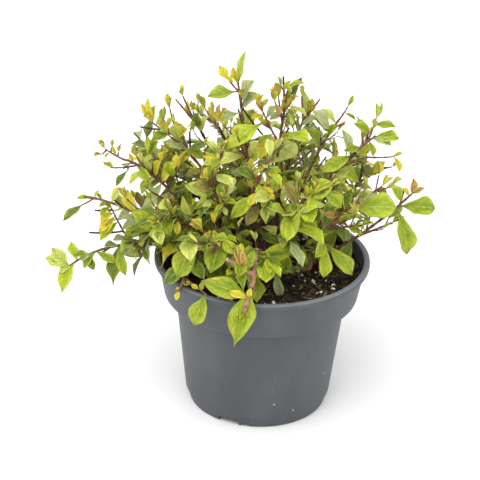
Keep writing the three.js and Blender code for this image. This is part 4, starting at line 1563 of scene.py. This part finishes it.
# %% A tuft of young leaves
TUFT_LENGTHS = (7 * MM, 13 * MM)
TUFT_FEWEST, TUFT_MORE = 3, 2.5
TUFT_LEANS = (0.1, 0.45)
TUFT_UPRIGHT = 0.5
TUFT_ROLL = 0.6
TUFT_BEND = 0.3
NEARLY_UPRIGHT = 0.95
TUFT_FROM, TUFT_TO = SOIL_TOP + 20 * MM, SOIL_TOP + 120 * MM
# The chance that a tuft is yellow, low down and high up, and the draws that are bronze or pale in it.
YELLOW_CHANCES = (0.35, 0.95)
BRONZE_BELOW, PALE_ABOVE = 0.16, 0.66
FOLDED_CHANCE = 0.75


def tuft(index, line, random, size=1.0, upright=TUFT_UPRIGHT, fewest=TUFT_FEWEST):
    """The narrow young leaves that stand up at a tip, mostly yellow high up and lime lower down."""
    root, tangent = line.at(1)
    side = tangent.cross(UP if abs(tangent.z) < NEARLY_UPRIGHT else -FRONT).normalized()
    second = tangent.cross(side).normalized()
    phase = math.tau * random()
    count = fewest + int(TUFT_MORE * random())
    yellow = random() < mix(*YELLOW_CHANCES, smooth_step(TUFT_FROM, TUFT_TO, root.z))
    for number in range(count):
        turn = phase + math.radians(number * GOLDEN_TURN)
        lean = side * math.cos(turn) + second * math.sin(turn)
        along = tangent + lean * between(random, *TUFT_LEANS) + UP * upright
        length = between(random, *TUFT_LENGTHS) * size
        form = "young" if random() < FOLDED_CHANCE else "young_open"
        tint = "lime"
        if yellow:
            draw = random()
            # Pale leaves in a tuft stand for a painted sheen.
            tint = "bronze" if draw < BRONZE_BELOW else "pale" if draw > PALE_ABOVE else "yellow"
        tile = int(random() * TILES)
        if index is None or not in_the_open(root):
            roll = between(random, -TUFT_ROLL, TUFT_ROLL)
            place_leaf(index, root, along, length, roll, form, tint, tile, TUFT_BEND)


# %% [markdown]
# ## Leaves chosen by eye
#
# The leaves that catch the eye are chosen one by one, like the sprigs: what each grows on and at which
# share of it, the direction and the rise of its tip in degrees, its length in millimetres, its form and its
# tint. They come first and keep a little space to themselves, and they are copies of finer templates.

# %% Chosen leaves
CHOSEN_LEAVES = [
    ("left_low", 1.0, 180, 20, 23, "broad", "pale"),
    ("left_low", 1.0, 170, 45, 23, "broad", "pale"),
    ("left_low", 1.0, 215, -25, 12, "broad", "pale"),
    ("left_low", 0.94, 145, 65, 18, "broad", "lime"),
    ("left_low", 0.86, 205, 5, 15, "arched", "mid"),
    ("left_low", 0.96, 210, -65, 32, "pointed", "lime"),
    ("left_low", 0.82, 210, -50, 19, "arched", "mid"),
    ("left_low", 0.82, 335, -15, 23, "slim", "mid"),
    ("left_low", 0.68, 325, -5, 25, "slim", "grey"),
    ("left_low", 0.68, 225, 15, 17, "arched", "grey"),
    ("left_low", 0.66, 240, -70, 40, "tailed", "deep"),
    ("left_low", 0.68, 300, -55, 28, "slim", "mid"),
    ("left_low", 0.68, 330, -10, 25, "arched", "mid"),
    ("left_low", 0.6, 310, -20, 17, "cupped", "deep"),
    ("mid_rising", 0.2, 215, 0, 14, "broad", "grey"),
    ("mid_rising", 0.4, 335, 40, 18, "broad", "grey"),
    ("mid_rising", 1.0, 215, -10, 10, "young_open", "lime"),
    ("mid_rising", 0.92, 225, -25, 13, "young_open", "lime"),
    ("mid_rising", 0.86, 230, -50, 16, "young_open", "yellow"),
    ("mid_rising", 0.78, 215, -20, 15, "young_open", "yellow"),
    ("mid_rising", 0.72, 225, -50, 19, "young_open", "yellow"),
    ("mid_rising", 0.66, 210, -30, 20, "young_open", "yellow"),
    ("mid_rising", 0.58, 210, -40, 23, "young_open", "lime"),
    ("mid_rising", 0.9, 220, 55, 11, "young_open", "lime"),
    ("left_mid", 0.94, 180, -5, 13, "slim", "lime"),
    ("left_mid", 0.86, 145, 40, 9, "slim", "lime"),
    ("mid_stalk", 1.0, 195, -45, 12, "broad", "grey"),
    ("mid_stalk", 1.0, 195, -40, 22, "slim", "deep"),
    ("left_mid", 0.7, 180, 50, 16, "broad", "pale"),
    ("left_mid", 0.64, 225, 70, 27, "young_open", "yellow"),
    ("upper_wisp", 1.0, 190, -55, 18, "slim", "deep"),
    ("left_upper", 0.85, 305, -30, 20, "arched", "mid"),
    ("left_crest", 0.84, 300, 45, 24, "broad", "yellow"),
    ("left_crest", 0.92, 205, -15, 19, "broad", "mid"),
    ("crest_tip", 1.0, 215, 80, 24, "narrow", "yellow"),
    ("crest_tip", 0.98, 170, 60, 20, "narrow", "yellow"),
    ("crest_tip", 0.95, 305, 80, 18, "young_open", "pale"),
    ("crest_tip", 0.8, 325, 50, 11, "young_open", "pale"),
    ("back_left", 1.0, 180, 45, 21, "arched", "grey"),
    ("back_left", 0.9, 210, 70, 22, "broad", "grey"),
    ("left_top", 0.84, 180, 75, 18, "arched", "deep"),
    ("inner_yellow", 0.6, 230, 65, 19, "broad", "lime"),
    ("inner_yellow", 1.0, 245, 75, 16, "arched", "yellow"),
    ("top_tall", 0.99, 220, 70, 18, "young", "yellow"),
    ("top_tall", 0.99, 0, 80, 30, "narrow", "pale"),
    ("tall_side", 1.0, 180, 55, 16, "rounded", "yellow"),
    ("tall_side", 0.7, 240, 75, 10, "young_open", "yellow"),
    ("top_tall", 0.88, 325, 60, 27, "broad", "grey"),
    ("top_tall", 0.94, 195, -5, 28, "stalked", "mid"),
    ("top_tall", 0.82, 205, -10, 25, "stalked", "grey"),
    ("near_tall", 0.85, 200, 70, 17, "slim", "bronze"),
    ("near_tall", 0.8, 200, -10, 12, "young_open", "yellow"),
    ("near_tall", 0.96, 20, 50, 10, "young_open", "pale"),
    ("near_tall", 0.66, 205, -30, 42, "stalked", "lime"),
    ("top_mid", 0.78, 320, 10, 34, "broad", "lime"),
    ("back_top", 0.72, 245, 0, 55, "broad", "pale"),
    ("mid_left", 0.95, 330, -70, 13, "young_open", "bronze"),
    ("back_tip", 0.7, 345, -35, 9, "arched", "grey"),
    ("mid_side", 0.4, 20, 65, 21, "slim", "yellow"),
    ("right_crest_tip", 1.0, 0, 70, 12, "slim", "lime"),
    ("right_crest_tip", 0.7, 350, -30, 12, "slim", "mid"),
    ("right_crest", 0.85, 205, 45, 22, "broad", "mid"),
    ("right_crest", 0.82, 315, 50, 19, "arched", "mid"),
    ("right_upper_tip", 0.75, 350, 0, 20, "pointed", "mid"),
    ("right_upper_tip", 0.35, 195, 35, 20, "arched", "mid"),
    ("right_upper", 0.98, 345, 5, 23, "broad", "lime"),
    ("right_upper", 0.96, 330, -5, 20, "arched", "grey"),
    ("right_upper", 0.93, 295, -45, 15, "arched", "mid"),
    ("right_upper", 0.86, 205, -5, 18, "pointed", "mid"),
    ("right_upper", 0.78, 215, -15, 35, "slim", "mid"),
    ("right_mid", 0.84, 340, 50, 20, "arched", "yellow"),
    ("right_mid", 0.72, 205, 35, 40, "arched", "lime"),
    ("right_low", 0.92, 190, 55, 20, "cupped", "lime"),
    ("right_low", 1.0, 280, 85, 16, "young_open", "bronze"),
    ("right_low", 1.0, 350, 35, 13, "young", "bronze"),
    ("right_low", 0.98, 195, 50, 11, "young_open", "yellow"),
    ("right_low", 0.88, 345, 5, 33, "blunt", "mid"),
    ("right_low", 0.87, 320, -70, 44, "stalked_slim", "mid"),
    ("right_front", 0.85, 345, 10, 41, "blunt", "mid"),
    ("right_low", 0.85, 220, 5, 31, "arched", "mid"),
    ("right_front", 0.85, 10, 30, 28, "arched", "grey"),
    ("right_low", 0.77, 205, 30, 26, "arched", "lime"),
    ("over_the_soil", 1.0, 270, -60, 30, "stalked_slim", "lime"),
    ("over_the_soil", 1.0, 345, -45, 37, "stalked_slim", "mid"),
    ("front_right", 0.3, 290, -75, 21, "arched", "lime"),
    ("right_front", 0.3, 235, -65, 23, "curled", "dry"),
    ("right_front", 0.28, 225, -40, 19, "slim", "lime"),
    ("front_mid", 0.75, 230, -40, 17, "wavy", "yellow"),
    ("front_mid", 0.8, 320, -15, 22, "curled", "yellow"),
    ("front_mid", 0.72, 210, -35, 33, "slim", "lime"),
    ("front_mid", 0.6, 235, -40, 24, "arched", "blushed"),
    ("left_inner", 0.85, 220, 20, 24, "broad", "blushed"),
    ("front_left", 0.7, 250, -35, 36, "broad", "mid"),
    ("front_left", 0.5, 205, 5, 23, "arched", "lime"),
    ("front_left_side", 1.0, 275, -30, 30, "broad", "pale"),
    ("front_left_side", 0.5, 215, -60, 37, "broad", "mid"),
    ("left_front", 0.85, 235, -55, 17, "broad", "mid"),
    ("front_left_low", 0.82, 190, -40, 28, "arched", "deep"),
    ("front_left_low", 0.96, 205, -10, 5, "young_open", "yellow"),
    ("front_left_low", 0.97, 230, -60, 10, "young_open", "yellow"),
    ("front_left_low", 0.94, 340, 15, 9, "young_open", "lime"),
    ("over_the_rim", 1.0, 220, -65, 30, "broad", "mid"),
    ("over_the_rim", 0.7, 180, 30, 9, "young_open", "yellow"),
    ("over_the_rim", 0.8, 180, 90, 9, "young_open", "lime"),
    ("front_end", 0.45, 175, 15, 42, "level", "mid"),
    ("front_end", 0.5, 190, 20, 19, "slim", "yellow"),
    ("front_end", 0.5, 305, 75, 11, "young_open", "yellow"),
    ("front_end", 0.3, 205, -75, 55, "tailed", "mid"),
    ("front_end", 1.0, 230, -60, 5, "young", "dry"),
    ("front_end", 0.95, 335, -40, 7, "young", "bronze"),
    ("soil_sprig", 0.9, 325, -75, 25, "slim", "grey"),
    ("soil_sprig", 1.0, 180, 55, 9, "young_open", "lime"),
    ("top_tall", 0.84, 325, 45, 26, "arched", "grey"),
    ("near_tall", 0.7, 25, 50, 15, "broad", "grey"),
    ("right_crest", 0.86, 195, 50, 28, "broad", "grey"),
    ("right_crest", 0.94, 165, 40, 19, "arched", "pale"),
    ("right_crest", 0.72, 205, 55, 25, "broad", "mid"),
    ("back_top", 0.96, 110, 80, 25, "slim", "pale"),
    ("right_upper", 0.77, 180, 70, 27, "slim", "grey"),
    ("left_upper", 0.8, 230, -25, 21, "slim", "pale"),
    ("left_mid", 0.6, 340, 50, 25, "broad", "grey"),
    ("left_crest", 0.8, 235, 70, 27, "broad", "pale"),
    ("left_crest", 0.76, 195, 25, 22, "arched", "grey"),
    ("left_low", 0.87, 305, -45, 15, "rounded", "deep"),
    ("left_low", 0.94, 335, 35, 16, "rounded", "grey"),
    ("mid_rising", 0.6, 340, 45, 18, "arched", "grey"),
    ("right_mid_bar", 0.95, 10, 20, 10, "young", "yellow"),
    ("right_mid_bar", 1.0, 345, -65, 15, "young_open", "yellow"),
    ("front_right", 0.8, 225, -50, 31, "broad", "lime"),
    ("front_right", 0.97, 350, 35, 30, "broad", "lime"),
    ("left_lower", 0.7, 200, 20, 27, "broad", "lime"),
    ("left_lower", 0.76, 195, 40, 32, "broad", "lime"),
    ("upper_tip", 0.75, 215, -40, 7, "young_open", "pale"),
    ("upper_tip", 0.4, 180, 70, 10, "young", "yellow"),
    ("upper_side", 0.9, 180, 45, 8, "young_open", "yellow"),
    ("left_upper", 0.9, 155, 60, 10, "young", "yellow"),
    ("left_upper", 0.85, 360, 80, 14, "young_open", "pale"),
    ("left_upper", 0.92, 220, -25, 11, "slim", "grey"),
    ("left_crest", 1.0, 180, 80, 13, "young_open", "yellow"),
    ("left_crest", 0.97, 20, 60, 12, "young_open", "pale"),
    ("back_top", 0.86, 335, 35, 21, "arched", "grey"),
    ("back_top", 0.82, 330, 10, 20, "broad", "grey"),
    ("top_mid", 0.95, 210, -15, 15, "arched", "grey"),
    ("top_mid", 0.9, 10, 35, 17, "arched", "pale"),
    ("left_mid", 0.8, 360, 60, 18, "young_open", "pale"),
    ("left_mid", 0.92, 25, 55, 8, "young_open", "pale"),
    ("low_front_up", 0.3, 225, -20, 17, "broad", "mid"),
    ("right_low", 0.5, 210, -60, 23, "broad", "deep"),
    ("front_back", 0.4, 195, 70, 23, "narrow", "bronze"),
    ("front_back", 0.35, 235, 80, 23, "narrow", "bronze"),
    ("front_back", 0.25, 340, 75, 22, "slim", "mid"),
    ("front_left", 0.78, 315, -20, 22, "arched", "lime"),
    ("near_tall", 0.3, 205, -25, 17, "slim", "lime"),
    ("near_tall", 0.12, 205, -35, 28, "arched", "yellow"),
    ("top_mid", 0.64, 210, 10, 16, "slim", "mid"),
    ("front_right", 0.7, 330, -30, 24, "arched", "mid"),
    ("right_front", 0.7, 210, 20, 17, "slim", "bronze"),
    ("left_crest", 0.75, 15, 15, 17, "broad", "deep"),
    ("left_crest", 0.77, 360, -30, 19, "arched", "mid"),
    ("near_tall", 0.42, 180, 40, 14, "young_open", "yellow"),
    ("near_tall", 0.44, 180, 60, 11, "young", "bronze"),
    ("left_upper", 0.7, 310, 70, 21, "young_open", "yellow"),
    ("left_upper", 0.75, 270, 80, 20, "young_open", "pale"),
    ("left_upper", 0.64, 325, 55, 30, "arched", "yellow"),
    ("left_upper", 0.72, 220, -50, 20, "arched", "pale"),
    ("left_upper", 0.64, 235, -45, 20, "arched", "grey"),
    ("right_crest", 0.5, 215, -25, 28, "broad", "pale"),
]
CHOSEN_FRONTWARDS = 0.9
# The ball of space that a chosen leaf keeps: its middle and its radius, as shares of the leaf's length.
RESERVED_AT, RESERVED_SHARE = 0.6, 0.3
SPRIG_TUFT_SEED = 7000
SPRIG_TUFTS, SPRIG_UPRIGHT, SPRIG_FEWEST = 1.2, 0.7, 5

for number, (carrier, share, toward, rise, length, form, tint) in enumerate(CHOSEN_LEAVES):
    root, _ = lines_by_name[carrier].at(share)
    to_tip = direction(toward, rise)
    across, face = leaf_frame(root, to_tip, 0, CHOSEN_FRONTWARDS)
    lift = ALL_FORMS[form]["bend"] / 2
    along = to_tip * math.cos(lift) + face * math.sin(lift)
    up = face * math.cos(lift) - to_tip * math.sin(lift)
    put_leaf(root, along, across, up, length * MM, smooth_templates[form, number % TILES], tint)
    reserved.append((root + to_tip * length * RESERVED_AT * MM, RESERVED_SHARE * length * MM))
for number, (name, (*_, size)) in enumerate(SPRIGS.items()):
    if size:
        random = seeded(SPRIG_TUFT_SEED + number)
        tuft(None, lines_by_name[name], random, SPRIG_TUFTS * size, SPRIG_UPRIGHT, SPRIG_FEWEST)
print("chosen leaves:", len(CHOSEN_LEAVES))

# %% [markdown]
# ## Leaves on every line
#
# All other leaves come from the rule. Each kind of line carries them over its own stretch and in its own
# sizes, and most kinds end in a tuft. When the last line is dressed, the leaves of each tint are joined.

# %% Dress every line
LEAF_SEED = 5000
SHOOT_LEAVES_FROM, SHOOT_LEAVES_TO = 0.12, 0.93
SHOOT_LEAF_LENGTHS = (40 * MM, 24 * MM)
SHOOT_TUFT = 1.25
# For each kind of twig: where its leaves start and end, their lengths there, and its tuft's size or 0.
TWIG_LEAVES = {
    "main": (0.2, 0.9, (36 * MM, 24 * MM), 1),
    "low": (0.3, 1, (38 * MM, 28 * MM), 0),
    "fine": (0.35, 0.95, (29 * MM, 20 * MM), 1),
    "top": (0.1, 0.6, (17 * MM, 11 * MM), 0.9),
}

for index, (name, path) in enumerate(zip(SHOOTS, paths)):
    random = seeded(LEAF_SEED + index)
    last = SPARSE_ENDS.get(name, SHOOT_LEAVES_TO)
    dress(index, path, SHOOT_LEAVES_FROM, last, SHOOT_LEAF_LENGTHS, random)
    if name not in SPARSE_ENDS:
        tuft(index, path, random, SHOOT_TUFT)
    main = [line for line, number in shoot_twigs[index] if is_leafy(name, number)]
    for kind, (start, end, lengths, tuft_size) in TWIG_LEAVES.items():
        for line in main if kind == "main" else grown[kind][index]:
            dress(index, line, start, end, lengths, random)
            if tuft_size:
                tuft(index, line, random, tuft_size)
for tint, copies in leaves.items():
    print(tint, len(copies), "leaves")
    spray = joined(copies)
    piece_from(spray, tint + "_leaves", leaf_materials[tint], FOLIAGE_NODES, sharp_degrees=55)

# %% [markdown]
# ## Pruned ends
#
# Some side shoots were cut back. Their stubs stay as short dark pegs with a pale cut face, and the woody
# branch has two such faces. Stubs are tubes like the twigs, and a cut face is a thin disc of wood across
# the end.

# %% Stubs and their cut faces
STUB_RADIUS = 0.95 * MM
STUB_TAPER = 0.85
# A cut face: its thickness, its inner and outer radius as shares of the stem's, and its number of sides.
CUT_THICKNESS, CUT_SHARES, CUT_SIDES = 0.5 * MM, (0.95, 0.75), 10
CUT_STUB_RADIUS = 0.9 * STUB_RADIUS
stub_lines = chosen_stubs + [line for twigs in shoot_twigs for line, number in twigs if number == STUB_TWIG]
stub_tubes = [tube_points(line, 0, 1, STUB_RADIUS, STUB_RADIUS * STUB_TAPER) for line in stub_lines]
dead_bark = bark("dead_bark", shade(44, 32, 30), shade(76, 56, 48), shade(110, 88, 74))
piece_from(tubes(stub_tubes, 2, 0.12 * MM), "pruned_stubs", dead_bark, sharp_degrees=70)


def cut_faces(ends):
    """A thin pale disc on each cut end, given by a line, a share of it and the stem's radius there."""
    bm = bmesh.new()
    for line, share, radius in ends:
        point, tangent = line.at(share)
        place = Matrix.Translation(point) @ tangent.to_track_quat("Z", "Y").to_matrix().to_4x4()
        inner, outer = [radius * part for part in CUT_SHARES]
        bmesh.ops.create_cone(
            bm,
            segments=CUT_SIDES,
            radius1=inner,
            radius2=outer,
            depth=CUT_THICKNESS,
            cap_ends=True,
            matrix=place,
        )
    return bm


wood_material = plain_grain("cut_wood", shade(176, 158, 128), shade(214, 200, 172))
cut_ends = [(line, 1, CUT_STUB_RADIUS) for line in stub_lines]
cut_ends.append((lines_by_name[WOODY_SHOOT], WOODY_CUT, WOODY_RADII[1]))
cut_ends.append((lines_by_name["front_back"], 1, WOODY_RADII[1]))
piece_from(cut_faces(cut_ends), "cut_faces", wood_material)

# %% [markdown]
# ## Floor, light and camera
#
# The plant stands on a plain pale floor in soft light, as in a shop picture: a bright even sky, and one
# wide lamp high up in front, a little to the left, that gives the leaves their shape. The camera looks down
# on the pot through a long lens. It is aimed beside the middle of the rim, so that the plant sits in the
# picture as it should with no shift.

# %% Stage
FLOOR_SIZE = 30.0
FLOOR_GAP = 0.2 * MM
SKY_STRENGTH = 0.96
LAMP_STRENGTH = 2.1
LAMP_WIDTH = 60
LAMP_SIDE = (-0.3, -0.65, 1.2)

sheet = bmesh.new()
bmesh.ops.create_grid(sheet, x_segments=1, y_segments=1, size=FLOOR_SIZE / 2)
floor = new_object("floor", as_mesh(sheet, "floor"))
floor.location.z = pot_low.z - FLOOR_GAP
floor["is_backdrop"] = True
paper, _, _ = new_material("pale_floor", Roughness=0.9, Base_Color=(0.92, 0.92, 0.92, 1))
floor.data.materials.append(paper)

world = bpy.data.worlds.new("even_sky")
bpy.context.scene.world = world
world.use_nodes = True
sky = world.node_tree.nodes["Background"]
sky.inputs["Color"].default_value = (1, 1, 1, 1)
sky.inputs["Strength"].default_value = SKY_STRENGTH

lamp = bpy.data.lights.new("wide_lamp", "SUN")
lamp.energy = LAMP_STRENGTH
lamp.angle = math.radians(LAMP_WIDTH)
lamp_holder = new_object("wide_lamp", lamp)
lamp_holder.rotation_euler = (-Vector(LAMP_SIDE)).to_track_quat("-Z", "Y").to_euler()

# %% Camera
PICTURE_SIZE = 480
RIM_PIXEL = (262.3, 254.2)
FOCAL_PIXELS = 1638
CAMERA_DISTANCE = 1443 * MM
CAMERA_ELEVATION = math.radians(27)
CAMERA_ROLL = math.radians(1.85)

lens = bpy.data.cameras.new("camera")
lens.sensor_width = 36
lens.lens = FOCAL_PIXELS * lens.sensor_width / PICTURE_SIZE
camera = new_object("camera", lens)
rim_centre = Vector((0, 0, POT_HEIGHT))
back = Vector((0, -math.cos(CAMERA_ELEVATION), math.sin(CAMERA_ELEVATION)))
camera.location = rim_centre + back * CAMERA_DISTANCE
roll = Matrix.Rotation(CAMERA_ROLL, 3, "Z")
facing = (-back).to_track_quat("-Z", "Y").to_matrix() @ roll
offset = Vector((PICTURE_SIZE / 2 - RIM_PIXEL[0], RIM_PIXEL[1] - PICTURE_SIZE / 2, 0))
aim = rim_centre + facing @ offset * CAMERA_DISTANCE / FOCAL_PIXELS
camera.rotation_mode = "QUATERNION"
camera.rotation_quaternion = (aim - camera.location).to_track_quat("-Z", "Y") @ roll.to_quaternion()
bpy.context.scene.camera = camera
bpy.context.scene.view_settings.view_transform = "Standard"

# %% [markdown]
# ## Size
#
# The frame's box and the finished plant's box are both printed. The finished plant has to keep
# to the frame's box.

# %% Write the sizes and finish
finished_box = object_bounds()
boxes = {"frame": frame_box, "finished": finished_box}
for name, (low, high) in boxes.items():
    print(name, [round(value / MM) for value in (*low, *high)])
